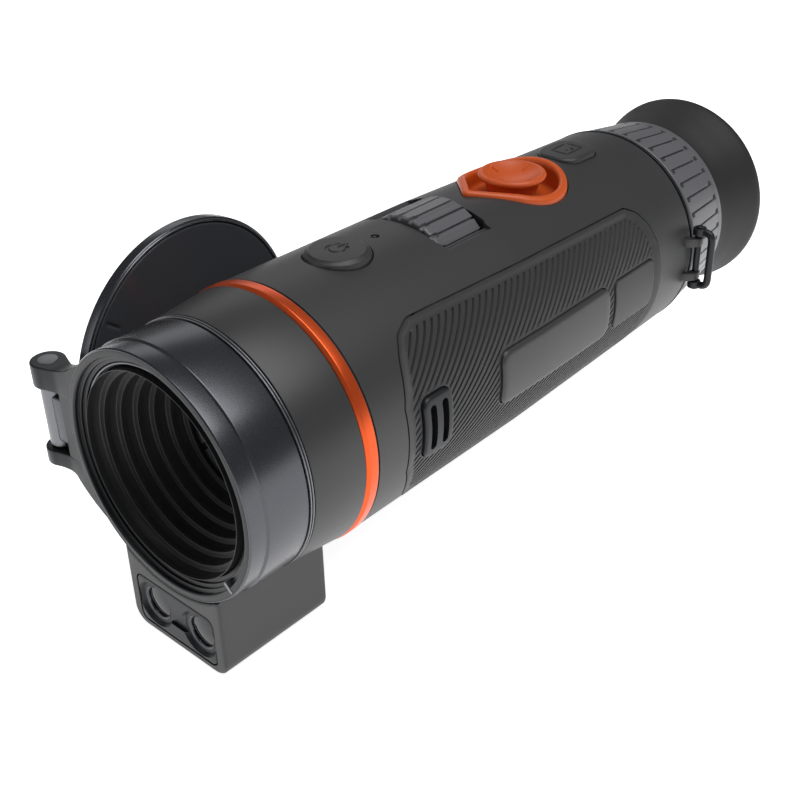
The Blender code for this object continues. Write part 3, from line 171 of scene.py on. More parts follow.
def turned(profile, columns=192, axis="y", centre=(0, 0, 0), push=None):
    """Profile points (radius, distance) carried round an axis: radius cos a and radius sin a across it.
    push(radius, distance, angle) may return what to add to the radius and to the distance."""
    radius, distance = (np.asarray(profile, float)[:, k][:, None] for k in (0, 1))
    angle = np.linspace(0, TURN, columns, endpoint=False)[None, :]
    radius, distance, angle = np.broadcast_arrays(radius, distance, angle)
    if push:
        more = push(radius, distance, angle)
        radius, distance = radius + more[0], distance + more[1]
    across, up = radius * np.cos(angle), radius * np.sin(angle)
    order = {"y": (across, distance, up), "z": (across, up, distance)}
    return np.stack(order[axis], -1) + np.array(centre, float)


def rise(low, high, value):
    """0 at low, 1 at high and beyond, and 3t^2 - 2t^3 in between."""
    t = np.clip((value - low) / (high - low), 0, 1)
    return t * t * (3 - 2 * t)


print("a softened square has", len(softened([(0, 0), (1, 0), (1, 1), (0, 1)], 0.2)), "points")

# %% [markdown]
# ## Pads and plates
# Ears, pads and plates are outlines with a thickness. The outline is drawn in a little at its two
# faces to round the edges, and each face is closed by drawing the outline in to its middle, in
# enough steps that the face can be bent round the body or pressed into a dish.


# %% Outlines
def outward(outline):
    """Unit normals of an outline that runs anticlockwise: its tangent (dx, dy) turned to (dy, -dx)."""
    tangent = np.roll(outline, -1, axis=0) - np.roll(outline, 1, axis=0)
    normal = np.stack([tangent[:, 1], -tangent[:, 0]], 1)
    return normal / np.maximum(np.linalg.norm(normal, axis=1, keepdims=True), 1e-9)


def box_outline(half_u, half_v, radius, centre=(0, 0), steps=8):
    """A rectangle whose corners are quarter circles, anticlockwise."""
    angle = np.linspace(0, math.pi / 2, steps)
    quarters = []
    for turn, (su, sv) in enumerate(((1, 1), (-1, 1), (-1, -1), (1, -1))):
        a = angle + turn * math.pi / 2
        u = centre[0] + su * (half_u - radius) + radius * np.cos(a)
        v = centre[1] + sv * (half_v - radius) + radius * np.sin(a)
        quarters.append(np.stack([u, v], 1))
    return np.concatenate(quarters)


def spaced(outline, count):
    """The same closed outline with evenly spaced points, found along its length."""
    loop = np.concatenate([outline, outline[:1]])
    length = np.concatenate([[0], np.cumsum(np.linalg.norm(np.diff(loop, axis=0), axis=1))])
    where = np.linspace(0, length[-1], count, endpoint=False)
    return np.stack([np.interp(where, length, loop[:, k]) for k in (0, 1)], 1)


print("a rounded box has", len(box_outline(5, 3, 1)), "points")


# %% Prisms, slabs and round bars
def prism(outline, low, high, edge=0.4, axis="z", height=None, steps=5, rings=6, centre=None):
    """A closed outline from low to high. Near each face it is drawn in by edge (1 - sin a) as it rises
    height (1 - cos a), and inside that it shrinks to its middle in equal rings."""
    outline = np.asarray(outline, float)
    middle = outline.mean(axis=0) if centre is None else np.array(centre, float)
    height = edge if height is None else height
    a = np.linspace(0, math.pi / 2, steps)
    inset = edge * (1 - np.sin(a))
    level = height * (1 - np.cos(a))
    normal = outward(outline)
    wall = [(outline - normal * i, low + z) for i, z in zip(inset, level)]
    wall += [(outline - normal * i, high - z) for i, z in zip(inset[::-1], level[::-1])]
    face = outline - normal * edge
    share = np.linspace(0, 1, rings, endpoint=False)
    rows = [(middle + (face - middle) * s, low) for s in share]
    rows += wall
    rows += [(middle + (face - middle) * s, high) for s in share[::-1]]
    u, v = (np.stack([r[:, k] for r, _ in rows]) for k in (0, 1))
    w = np.broadcast_to(np.array([z for _, z in rows])[:, None], u.shape)
    return np.stack({"z": (u, v, w), "y": (u, w, v), "x": (w, u, v)}[axis], -1)


def slab(top, bottom):
    """The solid between two grids of the same size: each row runs out along the top and back along the
    bottom, and the first and last rows are drawn together to close the ends."""
    loop = np.concatenate([top, bottom[:, ::-1]], axis=1)
    middle = (top + bottom) / 2
    ends = [np.concatenate([middle[k], middle[k][::-1]])[None] for k in (0, -1)]
    return np.concatenate([ends[0], loop, ends[1]], axis=0)


def tube(path, radius, across, columns=20, closed=False):
    """A round bar along a flat path: at each point, radius (cos a side + sin a across), where side is
    square to the path and to the across direction. An open bar has its ends rounded off."""
    path = np.asarray(path, float)
    across = np.array(across, float)
    if not closed:
        a = np.linspace(0, math.pi / 2, 6)
        first, last = (p / np.linalg.norm(p) for p in (path[1] - path[0], path[-1] - path[-2]))
        cap = [path[0] - first * radius * math.cos(s) * 0.7 for s in a[:-1]]
        tail = [path[-1] + last * radius * math.cos(s) * 0.7 for s in a[:-1]]
        size = np.concatenate([np.sin(a[:-1]), np.ones(len(path)), np.sin(a[:-1])[::-1]])
        path = np.concatenate([cap, path, tail[::-1]])
    else:
        size = np.ones(len(path))
    along = np.gradient(path, axis=0) if not closed else np.roll(path, -1, 0) - np.roll(path, 1, 0)
    side = np.cross(along, across)
    side = side / np.linalg.norm(side, axis=1, keepdims=True)
    a = np.linspace(0, TURN, columns, endpoint=False)[None, :, None]
    reach = radius * size[:, None, None]
    return path[:, None] + reach * (np.cos(a) * side[:, None] + np.sin(a) * across)


print("a prism of a rounded box has rows and columns", prism(box_outline(5, 3, 1), 0, 2).shape[:2])

# %% [markdown]
# ## Cutting holes
# The body is one moulding with openings for the buttons, the wheel and the joystick. A Boolean cuts
# them, because the edge of a hole has to be crisp across a curved skin. Afterwards the faces that
# still lie on the skin get the skin's own true normals, so that no streak runs out from a hole.


# %% Boolean cuts with true normals
def cut(obj, *grids, sharp=30):
    """Cuts closed grids from a piece and keeps the result as its mesh."""
    mesh = grid_mesh("cutter", list(grids))
    tool = bpy.data.objects.new("cutter", mesh)
    bpy.context.scene.collection.objects.link(tool)
    modifier = obj.modifiers.new("hole", "BOOLEAN")
    modifier.operation = "DIFFERENCE"
    modifier.solver = "EXACT"
    modifier.use_self = len(grids) > 1
    modifier.object = tool
    bpy.context.view_layer.update()
    graph = bpy.context.evaluated_depsgraph_get()
    made = bpy.data.meshes.new_from_object(obj.evaluated_get(graph))
    made.materials.clear()
    made.materials.append(obj.data.materials[0])
    obj.modifiers.clear()
    obj.data = made
    bpy.data.objects.remove(tool)
    made.shade_smooth()
    made.set_sharp_from_angle(angle=math.radians(sharp))
    print(f"{obj.name}: {len(grids)} cuts, {len(made.polygons)} faces")
    return obj


def true_normals(obj, skin_normal, close=0.985):
    """Each face corner whose face looks almost along the skin's own normal takes exactly that normal, and
    every other corner keeps what it has."""
    mesh = obj.data
    points = np.empty(len(mesh.vertices) * 3, np.float32)
    mesh.vertices.foreach_get("co", points)
    corner_point = np.empty(len(mesh.loops), np.int32)
    mesh.loops.foreach_get("vertex_index", corner_point)
    corner_normal = np.empty(len(mesh.loops) * 3, np.float32)
    mesh.corner_normals.foreach_get("vector", corner_normal)
    sides = np.empty(len(mesh.polygons), np.int32)
    mesh.polygons.foreach_get("loop_total", sides)
    face_normal = np.empty(len(mesh.polygons) * 3, np.float32)
    mesh.polygons.foreach_get("normal", face_normal)
    wanted = skin_normal((points.reshape(-1, 3) - ORIGIN) / MM)[corner_point]
    flat = np.repeat(face_normal.reshape(-1, 3), sides, axis=0)
    on_skin = (wanted * flat).sum(axis=1) > close
    normals = np.where(on_skin[:, None], wanted, corner_normal.reshape(-1, 3))
    mesh.normals_split_custom_set(normals.tolist())
    print(f"{obj.name}: {int(on_skin.sum())} corners on the skin")


# %% [markdown]
# ## Camera, floor and light
# The product stands over a white table under a large softbox. The glossy barrel shows why the light is
# placed as it is: it mirrors the lit table low on its side, a softbox behind and above it near its top,
# and nothing much in between, which gives two broad bands with dark metal between them.

# %% Camera
LENS_MM = 54.97
SENSOR_MM = 36.0
camera_data = bpy.data.cameras.new("camera")
camera_data.lens = LENS_MM
camera_data.sensor_width = SENSOR_MM
camera_data.clip_start = 0.01
camera = bpy.data.objects.new("camera", camera_data)
right_side = (0.744, 0.6679, -0.0202)
up_side = (-0.3368, 0.4009, 0.852)
back_side = (0.5771, -0.6271, 0.5232)
stand = (0.18871, -0.22496, 0.18847)
camera.matrix_world = Matrix([*zip(right_side, up_side, back_side, stand), (0, 0, 0, 1)])
bpy.context.scene.collection.objects.link(camera)
bpy.context.scene.camera = camera
print(f"camera: {LENS_MM} mm lens at", [round(at, 3) for at in stand])

# %% Colours, and one function that adds a node
scene = bpy.context.scene
scene.view_settings.view_transform = "Standard"


def linear(colour):
    """sRGB hex to linear red, green, blue: c / 12.92 when small, else ((c + 0.055) / 1.055) ^ 2.4."""
    code = np.array([int(colour[k : k + 2], 16) for k in (1, 3, 5)]) / 255
    light = np.where(code <= 0.04045, code / 12.92, ((code + 0.055) / 1.055) ** 2.4)
    return (*light.tolist(), 1.0)


def add(tree, kind, sockets=None, **settings):
    """Adds a node. Settings go on the node, and sockets are {name: value, or another node's output}."""
    node = tree.nodes.new(kind)
    for name, value in settings.items():
        setattr(node, name, value)
    for name, value in (sockets or {}).items():
        if isinstance(value, bpy.types.NodeSocket):
            tree.links.new(value, node.inputs[name])
        else:
            node.inputs[name].default_value = value
    return node


print("mid grey, linear:", [round(part, 3) for part in linear("#808080")])

# %% Floor and lights
WORLD_LIGHT = 0.16
TABLE_GLOW = 0.84
world = bpy.data.worlds.new("studio")
world.use_nodes = True
sky = world.node_tree.nodes["Background"]
sky.inputs["Color"].default_value = linear("#f4f6fa")
sky.inputs["Strength"].default_value = WORLD_LIGHT
scene.world = world
floor_z = cad_box[0].z - 0.5 * MM
floor_mesh = bpy.data.meshes.new("floor")
FLOOR_HALF = 30.0
floor_corners = [(x * FLOOR_HALF, y * FLOOR_HALF, floor_z) for x, y in ((-1, -1), (1, -1), (1, 1), (-1, 1))]
floor_mesh.from_pydata(floor_corners, [], [(0, 1, 2, 3)])
floor = bpy.data.objects.new("floor", floor_mesh)
scene.collection.objects.link(floor)
floor_paint = bpy.data.materials.new("white_table")
floor_paint.use_nodes = True
table_shader = floor_paint.node_tree.nodes["Principled BSDF"]
table_shader.inputs["Base Color"].default_value = linear("#fbfbfb")
table_shader.inputs["Roughness"].default_value = 0.9
table_shader.inputs["Emission Color"].default_value = linear("#ffffff")
table_shader.inputs["Emission Strength"].default_value = TABLE_GLOW
floor_mesh.materials.append(floor_paint)


def softbox(name, place, size, watts):
    """An area light at this place, turned to face the middle of the object."""
    data = bpy.data.lights.new(name, "AREA")
    data.shape = "RECTANGLE"
    data.size, data.size_y = size
    data.energy = watts
    lamp = bpy.data.objects.new(name, data)
    aim = -np.array(place, float)
    lamp.location = place
    lamp.rotation_mode = "QUATERNION"
    lamp.rotation_quaternion = Vector(aim).to_track_quat("-Z", "Y")
    scene.collection.objects.link(lamp)


softbox("overhead", (0.35, 0.1, 1.15), (0.7, 1.2), 11.5)
softbox("rear_left", (-0.85, 0.65, 0.6), (0.8, 0.4), 1.0)
softbox("front_left", (-0.6, -1.1, 0.45), (0.6, 0.6), 1.8)
softbox("right", (1.1, -0.2, 0.8), (0.4, 1.0), 0.3)

# %% [markdown]
# ## Finishes
# Nearly everything here is black or dark grey, so the finishes differ by how they shine rather than by
# their colour. Moulded nylon has a spark-eroded grain that scatters light, rubber is duller still, the
# ribbed rubber is paler all over as a painted sheen, and anodised metal keeps fine turning marks under a
# clear gloss.


# %% One recipe for a surface
BAND_PERIOD = 0.314  # distance between the bands of a wave texture at scale 1


def surface(name, dark, light, rough, grain, bump, cloud=35.0, rough_spread=0.05, lines=0.0, **uniform):
    """A Principled finish. A soft cloud pattern mixes two colours, a fine grain (mm wide, bump mm high)
    breaks up the light and the roughness, and lines (mm apart) are lathe marks along the optical axis."""
    material = bpy.data.materials.new(name)
    material.use_nodes = True
    tree = material.node_tree
    shader = tree.nodes["Principled BSDF"]
    place = add(tree, "ShaderNodeTexCoord").outputs["Object"]
    clouds = add(tree, "ShaderNodeTexNoise", {"Vector": place, "Scale": 1 / (cloud * MM), "Detail": 3.0})
    grains = add(tree, "ShaderNodeTexNoise", {"Vector": place, "Scale": 1 / (grain * MM), "Detail": 2.0})
    height = grains.outputs["Fac"]
    if lines:
        marks = add(
            tree,
            "ShaderNodeTexWave",
            {"Vector": place, "Scale": BAND_PERIOD / (lines * MM), "Distortion": 0.6, "Detail": 1.0},
            bands_direction="Y",
        )
        height = add(
            tree, "ShaderNodeMath", {0: marks.outputs["Fac"], 1: grains.outputs["Fac"]}, operation="ADD"
        ).outputs[0]
    mix = add(
        tree, "ShaderNodeMix", {"Factor": clouds.outputs["Fac"]}, data_type="RGBA", clamp_factor=True
    )
    mix.inputs[6].default_value, mix.inputs[7].default_value = linear(dark), linear(light)
    dull = add(
        tree,
        "ShaderNodeMapRange",
        {"Value": grains.outputs["Fac"], "To Min": rough - rough_spread, "To Max": rough + rough_spread},
    )
    raised = add(tree, "ShaderNodeBump", {"Height": height, "Distance": bump * MM, "Strength": 1.0})
    tree.links.new(mix.outputs[2], shader.inputs["Base Color"])
    tree.links.new(dull.outputs["Result"], shader.inputs["Roughness"])
    tree.links.new(raised.outputs["Normal"], shader.inputs["Normal"])
    for socket, value in uniform.items():
        shader.inputs[socket.replace("_", " ")].default_value = value
    return material


print("band period of a wave texture:", BAND_PERIOD, "m at scale 1")

# %% Nylon and rubber
# Glass-filled nylon, moulded against a spark-eroded tool: a dull dark grey with a fine even grain.
moulded_nylon = surface("moulded_nylon", "#2c2c2d", "#333334", 0.47, 0.5, 0.012, IOR=1.5)
# The same nylon where the tool was left smoother, on the lens housing.
fine_nylon = surface("fine_nylon", "#29292a", "#303031", 0.42, 0.35, 0.006, IOR=1.5)
# Overmoulded thermoplastic rubber: matt, slightly powdery, with no clear reflection.
grip_rubber = surface("grip_rubber", "#2a2a2b", "#323233", 0.52, 0.35, 0.010, IOR=1.46)
# A harder rubber of the diopter ring and wheel, given a pale base colour all over: a painted sheen that
# stands in for the light its ribs catch.
painted_sheen_rubber = surface("painted_sheen_rubber", "#58585b", "#646467", 0.36, 0.35, 0.008, IOR=1.5)
# Softer silicone rubber of the eyecup, which goes a little pale along its folds.
eyecup_rubber = surface("eyecup_rubber", "#161617", "#1f1f20", 0.58, 0.6, 0.010, cloud=12.0, IOR=1.45)
print("nylon and rubber:", moulded_nylon.name, fine_nylon.name, grip_rubber.name, eyecup_rubber.name)

# %% Anodised and painted metal
# Black anodised aluminium straight off the lathe: glossy, with turning marks drawn at 0.3 mm to show.
black_anodised = surface(
    "black_anodised", "#4e4f53", "#56575b", 0.27, 0.25, 0.0005, lines=0.3, rough_spread=0.02, Metallic=0.9
)
# Dark satin paint over the cast bracket of the cover.
bracket_paint = surface(
    "bracket_paint", "#1c1d1f", "#242527", 0.38, 0.3, 0.004, rough_spread=0.04, Metallic=0.5
)
# Aluminium bead-blasted before black anodising: a satin black without clear lines.
satin_anodised = surface(
    "satin_anodised", "#2a2b2d", "#323335", 0.40, 0.3, 0.004, rough_spread=0.04, Metallic=0.7
)
# Clear anodised metal gone dull grey, on the hinge sleeve and pin, the groove ring and the small lips, rims
# and tab.
grey_anodised = surface(
    "grey_anodised", "#6c6d70", "#7a7b7e", 0.33, 0.3, 0.003, rough_spread=0.04, Metallic=0.85
)
# Flocked and blackened baffles, which stay dark from every side.
baffle_black = surface("baffle_black", "#1a1a1b", "#222223", 0.50, 0.4, 0.012, IOR=1.45)
# Bare stainless steel with a brushed satin face.
brushed_steel = surface(
    "brushed_steel", "#a4a5a8", "#b9babd", 0.27, 0.25, 0.002, lines=0.25, rough_spread=0.05, Metallic=1.0
)
# Orange anodised aluminium: the dye sits in a clear oxide layer, so it glows where the light is bright.
orange_anodised = surface(
    "orange_anodised", "#d8501f", "#e25e2c", 0.30, 0.25, 0.0015, lines=0.3, Metallic=0.75
)
print("metals:", black_anodised.name, grey_anodised.name, brushed_steel.name, orange_anodised.name)

# %% Orange plastic, acrylic, lenses and the parts inside
# Orange polycarbonate of the joystick, moulded and lightly textured.
orange_plastic = surface("orange_plastic", "#c44d0f", "#ce5714", 0.42, 0.4, 0.006, IOR=1.5)
# Black acrylic face of the lens cover, polished flat like a mirror.
polished_acrylic = surface(
    "polished_acrylic", "#424347", "#4a4b50", 0.16, 2.0, 0.0015, rough_spread=0.02, IOR=1.49
)
# Germanium with a hard carbon coat, opaque to the eye, with a cool tint. Its pale grey, barely metallic base
# colour is a painted reflection that stands in for the lens's glow deep in the hood.
germanium_painted_glow = surface(
    "germanium_painted_glow", "#a6aab1", "#b2b6bd", 0.26, 3.0, 0.0008, rough_spread=0.02, Metallic=0.1
)
# Deeply coloured window glass with a blue coating, over the two rangefinder eyes.
dark_window = surface("dark_window", "#07080c", "#0c0e16", 0.06, 3.0, 0.0006, rough_spread=0.02, IOR=1.52)
# Clear eyepiece glass.
eye_glass = surface(
    "eye_glass", "#f4f7f6", "#ffffff", 0.03, 3.0, 0.0003, rough_spread=0.01, IOR=1.52, Transmission_Weight=1.0
)
# Smooth injection-moulded ABS, used for the inner frames.
black_abs = surface("black_abs", "#161617", "#1d1d1e", 0.34, 0.5, 0.006, IOR=1.53)
# Brass of the tripod insert, machined and slightly tarnished.
machined_brass = surface("machined_brass", "#b08a45", "#c49d55", 0.30, 0.3, 0.003, Metallic=1.0)
# Green epoxy glass laminate of the circuit boards.
board_laminate = surface("board_laminate", "#0d3b22", "#14502e", 0.36, 0.6, 0.01, cloud=4.0, IOR=1.55)
# Blue shrink wrap of the battery cell.
shrink_wrap = surface("shrink_wrap", "#173a7c", "#1f4690", 0.32, 0.8, 0.01, IOR=1.5)
print("finishes:", len(bpy.data.materials) - 1)

# %% [markdown]
# ## The lens end
# Four turned rings make the front: the cover's bracket, a glossy barrel, a bright ring with a groove,
# and the lens housing that tapers up to the body. An orange ring marks where the body begins. All are
# profiles on the optical axis, with their radii and ends read from the CAD boxes.

# %% Bracket ring and barrel
BRACKET_R, bracket_y = span("cover_bracket")[1][:2]
BORE = BRACKET_R - 5.0
BAND = 0.5
bracket_profile = [
    (BRACKET_R - BAND, bracket_y), (BRACKET_R - BAND, 0.05), (BRACKET_R - 1.8, 0.0), (BRACKET_R - 2.1, 0.3),
    (BRACKET_R - 2.1, 1.2), (BRACKET_R - 3.0, 1.3), (BRACKET_R - 3.0, 2.0), (BRACKET_R - 3.9, 2.1),
    (BRACKET_R - 3.9, 2.8), (BORE, 2.9), (BORE, bracket_y),
]
piece("bracket_ring", turned(softened(bracket_profile, 0.14), 256), bracket_paint, ring=True)
band_profile = [
    (BRACKET_R, bracket_y), (BRACKET_R, 0.35), (BRACKET_R - 0.3, 0.0), (BRACKET_R - BAND, 0.03),
    (BRACKET_R - BAND, bracket_y),
]
piece("bracket_band", turned(softened(band_profile, 0.1), 256), black_anodised, ring=True)
barrel_span = span("objective_barrel")
BARREL_R = barrel_span[1][0]
y0, y1 = barrel_span[0][1], barrel_span[1][1]
barrel_profile = [
    (BARREL_R, y1), (BARREL_R, y0 + 0.6), (BARREL_R - 0.6, y0), (BARREL_R - 3.8, y0), (BARREL_R - 3.8, y1)
]
piece(
    "objective_barrel_fine", turned(softened(barrel_profile, 0.2), 256), black_anodised,
    ["objective_barrel"], ring=True,
)

# %% Lip strip and notch tab inside the bracket
STRIP_R, STRIP_Y = BORE + 0.6, 2.6
strip_angle = np.linspace(math.radians(35), math.radians(150), 90)
strip_path = np.stack(
    [STRIP_R * np.cos(strip_angle), np.full_like(strip_angle, STRIP_Y), STRIP_R * np.sin(strip_angle)], 1
)
piece("lip_strip", tube(strip_path, 0.4, (0, 1, 0), 16), grey_anodised)
TAB_ANGLE = math.radians(-41)
tab = prism(box_outline(1.5, 0.5, 0.35, (BRACKET_R - 2.2, 0), 6), -0.1, 2.4, 0.12, "y")
tab_x, tab_z = tab[..., 0].copy(), tab[..., 2].copy()
tab[..., 0] = tab_x * math.cos(TAB_ANGLE) - tab_z * math.sin(TAB_ANGLE)
tab[..., 2] = tab_x * math.sin(TAB_ANGLE) + tab_z * math.cos(TAB_ANGLE)
piece("notch_tab", tab, grey_anodised)

# %% Bright groove ring, lens housing and orange ring
low, high = span("groove_ring")
r, y0, y1 = high[0], low[1], high[1]
groove_profile = [
    (r, y1), (r, y1 - 0.35), (r - 0.45, y1 - 0.4), (r - 0.45, y0 + 0.4), (r, y0 + 0.35), (r, y0),
    (r - 4, y0), (r - 4, y1),
]
piece(
    "groove_ring_fine", turned(softened(groove_profile, 0.1), 256), grey_anodised,
    ["groove_ring"], ring=True,
)
low, high = span("lens_housing")
HOUSING_FRONT_R = span("trim_ring")[1][0] - 0.2
GUIDE_R = span("focus_carriage")[1][0] + 0.4
y0, y1, end_y = low[1], span("trim_ring")[0][1] - 0.3, high[1]
seat_r = HOUSING_FRONT_R - 3.2
housing_profile = [
    (BARREL_R + 0.3, y0), (HOUSING_FRONT_R - 0.1, y1), (seat_r, y1), (seat_r, y1 + 3.7),
    (GUIDE_R + 3, y1 + 3.7),
    (GUIDE_R + 3, end_y), (GUIDE_R, end_y), (GUIDE_R, y1 + 0.3), (13.4, y1 + 0.3), (13.4, y0 + 8.5),
    (BARREL_R - 3.8, y0 + 8.5), (BARREL_R - 3.8, y0),
]
lens_housing = piece(
    "lens_housing_skin", turned(softened(housing_profile, 0.25), 256), fine_nylon,
    ["lens_housing"], ring=True,
)
ARM_Y = 44.0
arm_room = prism(box_outline(2.8, 5.2, 0.4, (0, ARM_Y)), 5.0, 24.0, 0, "z")
cut(lens_housing, arm_room, sharp=38)
low, high = span("trim_ring")
r, y0, y1 = high[0], low[1], high[1]
trim_profile = [(r, y1), (r, y0 + 0.9), (r - 0.7, y0), (r - 3.1, y0), (r - 3.1, y1)]
piece(
    "trim_ring_fine", turned(softened(trim_profile, 0.15), 256), orange_anodised,
    ["trim_ring"], ring=True,
)

# %% [markdown]
# ## Baffles and the objective lens
# Stray heat and light are kept off the lens by a cone of seven black steps. Each step is a ring with a
# soft edge that catches a thin line of light. The lens is a small dome of coated germanium deep inside,
# held by a threaded ring with two slots for the spanner.

# %% Stepped hood
low, high = span("baffle_hood")
HOOD_STEPS = 7
MOUTH, THROAT = 25.4, 14.6
step_y = (high[1] - low[1]) / HOOD_STEPS
step_r = (MOUTH - THROAT) / HOOD_STEPS
inside = []
for step in range(HOOD_STEPS):
    radius = MOUTH - step * step_r
    start = low[1] + step * step_y
    inside += [(radius, start), (radius + 0.25, start + step_y * 0.5), (radius, start + step_y)]
HOOD_R = MOUTH + 1.9
outside = [(HOOD_R, high[1]), (HOOD_R, BRACKET_DEPTH), (BORE - 0.3, BRACKET_DEPTH), (BORE - 0.3, low[1])]
piece(
    "baffle_hood_fine", turned(softened(inside + outside, 0.3, steps=4), 224), baffle_black,
    ["baffle_hood"], ring=True, sharp=32,
)

# %% Retaining ring and lens
low, high = span("objective_retainer")
y0, y1 = low[1], high[1]


def spanner_slots(radius, distance, angle):
    """Two slots across the front face, 1.2 mm wide and 0.7 deep, where |radius sin angle| is small."""
    slot = (np.abs(radius * np.sin(angle - 0.6)) < 0.6) & (distance < y0 + 0.5)
    return 0, np.where(slot, 0.7, 0)


retainer_profile = softened(
    [(15.8, y1), (15.8, y0), (14.6, y0), (13.9, y0 + 0.6), (12.9, y0 + 0.7), (12.0, y0 + 1.6), (12.0, y1)],
    0.15,
)
piece(
    "retaining_ring", turned(retainer_profile, 256, push=spanner_slots), satin_anodised,
    ["objective_retainer"], ring=True,
)


def domed(radius, front, rear, front_bulge, rear_bulge, steps=14):
    """Lens profile from pole to pole: each face is bulge (1 - (r / radius)^2) deep, with a flat rim."""
    share = np.linspace(0, 1, steps)
    face = np.stack([radius * share, front - front_bulge * (1 - share**2)], 1)
    back = np.stack([radius * share[::-1], rear + rear_bulge * (1 - share[::-1] ** 2)], 1)
    return np.concatenate([face, back])


low, high = span("objective_lens")
piece(
    "objective_dome", turned(domed(high[0], low[1] + 1.4, high[1], 1.4, -1.0), 128), germanium_painted_glow,
    ["objective_lens"],
)

# %% [markdown]
# ## Hinge and lens cover
# The bracket carries two ears with a steel pin between them, and the cover turns on the pin by its own
# knuckle. Ears are flat plates with one round end. The cover is a shallow turned dish with a polished
# black face. It is worked out shut in front of the lens and then swung to where the CAD rests it.

# %% Where the hinge is
pin_low, pin_high = span("cover_pin")
HINGE = (pin_low + pin_high) / 2
HINGE[2] = 0.0
EAR_IN, EAR_OUT, EAR_TOP = 8.6, 12.8, 14.6
print("hinge axis at", HINGE.round(2))

# %% Ears and web
EAR_R = 4.3
ear_angle = np.linspace(math.radians(75), math.radians(300), 40)
ear_outline = np.stack([HINGE[0] + EAR_R * np.cos(ear_angle), HINGE[1] + EAR_R * np.sin(ear_angle)], 1)
ear_outline = np.concatenate([ear_outline, [(-34.0, 0.0), (-28.6, 0.15), (-27.6, 4.15), (-33.0, 4.6)]])
ear_outline = spaced(softened(ear_outline, 0.8), 90)
ears = []
for side, top, flare in ((1, EAR_TOP, 0.034), (-1, EAR_OUT, 0.0442)):
    ear = prism(ear_outline, EAR_IN, top, 0.35, "z", centre=(-35.5, 2.3))
    share = (ear[..., 2] - EAR_IN) / (top - EAR_IN)
    past = np.maximum(ear[..., 0] - HINGE[0] - 3, 0)
    ear[..., 2] = side * (ear[..., 2] + share * flare * past**2)
    ears.append(ear)
v = np.linspace(-1, 1, 41)[:, None]
u = np.linspace(0, 1, 9)[None, :]
web_z = v * (12.2 + 8.4 * u**1.25) - 1.6 * u * (v < 0)
inner_x = -np.sqrt(30.3**2 - web_z**2)
web_x = -33.8 + (inner_x + 33.8) * u
web = slab(*(np.stack([web_x, np.full_like(web_x, level), web_z], -1) for level in (4.15, 0.12)))
piece("bracket_lug", ears + [web], bracket_paint, ["cover_bracket"])

# %% Pin with domed heads
pin_profile = [(0, pin_low[2]), (1.5, pin_low[2] + 0.15), (1.5, pin_high[2] - 0.15), (0, pin_high[2])]


def pin_head(top):
    """A flat disc, 2.4 mm in radius, that stands 0.15 mm out of the ear."""
    corners = [(0, top - 0.8), (2.4, top - 0.8), (2.4, top + 0.12), (0, top + 0.15)]
    return turned(softened(corners, 0.12, closed=False), 64, "z", (HINGE[0], HINGE[1], 0))


piece(
    "hinge_pin",
    [
        turned(softened(pin_profile, 0.2, closed=False), 48, "z", (HINGE[0], HINGE[1], 0)),
        pin_head(EAR_TOP),
        pin_head(EAR_OUT) * [1, 1, -1],
    ],
    grey_anodised, ["cover_pin"],
)


# %% Cover: dish, arm and knuckle
cover_low, cover_high = span("lens_cover")
COVER_R = (cover_high[2] - cover_low[2]) / 2
COVER_OPEN = math.pi / 2 + math.radians(4)
SHUT_Y = -0.3
OUTER_Y = SHUT_Y - 3.0


def swung(grid):
    """Turns points about the hinge by the rest angle: x cos - y sin and x sin + y cos."""
    x, y = grid[..., 0] - HINGE[0], grid[..., 1] - HINGE[1]
    c, s = math.cos(COVER_OPEN), math.sin(COVER_OPEN)
    return np.stack([HINGE[0] + x * c - y * s, HINGE[1] + x * s + y * c, grid[..., 2]], -1)


dish_profile = [
    (0, OUTER_Y + 1.0), (COVER_R - 1.3, OUTER_Y + 1.0), (COVER_R - 1.3, OUTER_Y), (COVER_R - 0.3, OUTER_Y),
    (COVER_R, OUTER_Y + 0.3), (COVER_R, SHUT_Y), (COVER_R - 3.4, SHUT_Y), (COVER_R - 3.4, SHUT_Y - 0.9),
    (0, SHUT_Y - 0.9),
]
dish = turned(softened(dish_profile, 0.15, closed=False), 256)
arm = prism(box_outline(5.2, 6.4, 1.2, (-36.4, 0)), OUTER_Y + 0.2, SHUT_Y - 0.1, 0.35, "y")
knuckle_profile = [(1.6, -8.3), (2.7, -8.3), (3.0, -8.0), (3.0, 8.0), (2.7, 8.3), (1.6, 8.3)]
knuckle = turned(softened(knuckle_profile, 0.15), 64, "z", (HINGE[0], HINGE[1], 0))
neck = prism(box_outline(2.3, 6.4, 0.8, centre=(HINGE[0], 0)), OUTER_Y + 0.3, HINGE[1] - 1.7, 0.3, "y")
piece(
    "cover_dish", [swung(g) for g in (dish, arm, neck)], black_anodised, ["lens_cover"],
    "lens_cover",
)
piece("cover_knuckle", swung(knuckle), grey_anodised, (), "lens_cover", ring=True)

# %% Cover: polished face, rim line and seal
FACE_R = COVER_R - 1.5
face_profile = [
    (0, OUTER_Y + 0.9), (FACE_R, OUTER_Y + 0.9), (FACE_R, OUTER_Y + 0.1), (FACE_R - 0.3, OUTER_Y - 0.1),
    (0, OUTER_Y - 0.1),
]


def witness_marks(radius, distance, angle):
    """Three short radial grooves near the rim, 0.6 mm wide and 0.4 deep, where the moulding was gated."""
    mark = np.zeros_like(radius)
    for at in (0.42, 2.5, 4.6):
        mark = np.maximum(mark, (np.abs(radius * np.sin(angle - at)) < 0.3) * (np.cos(angle - at) > 0))
    return 0, mark * (distance < OUTER_Y) * (radius > COVER_R - 7.5) * (radius < COVER_R - 2.6) * 0.4


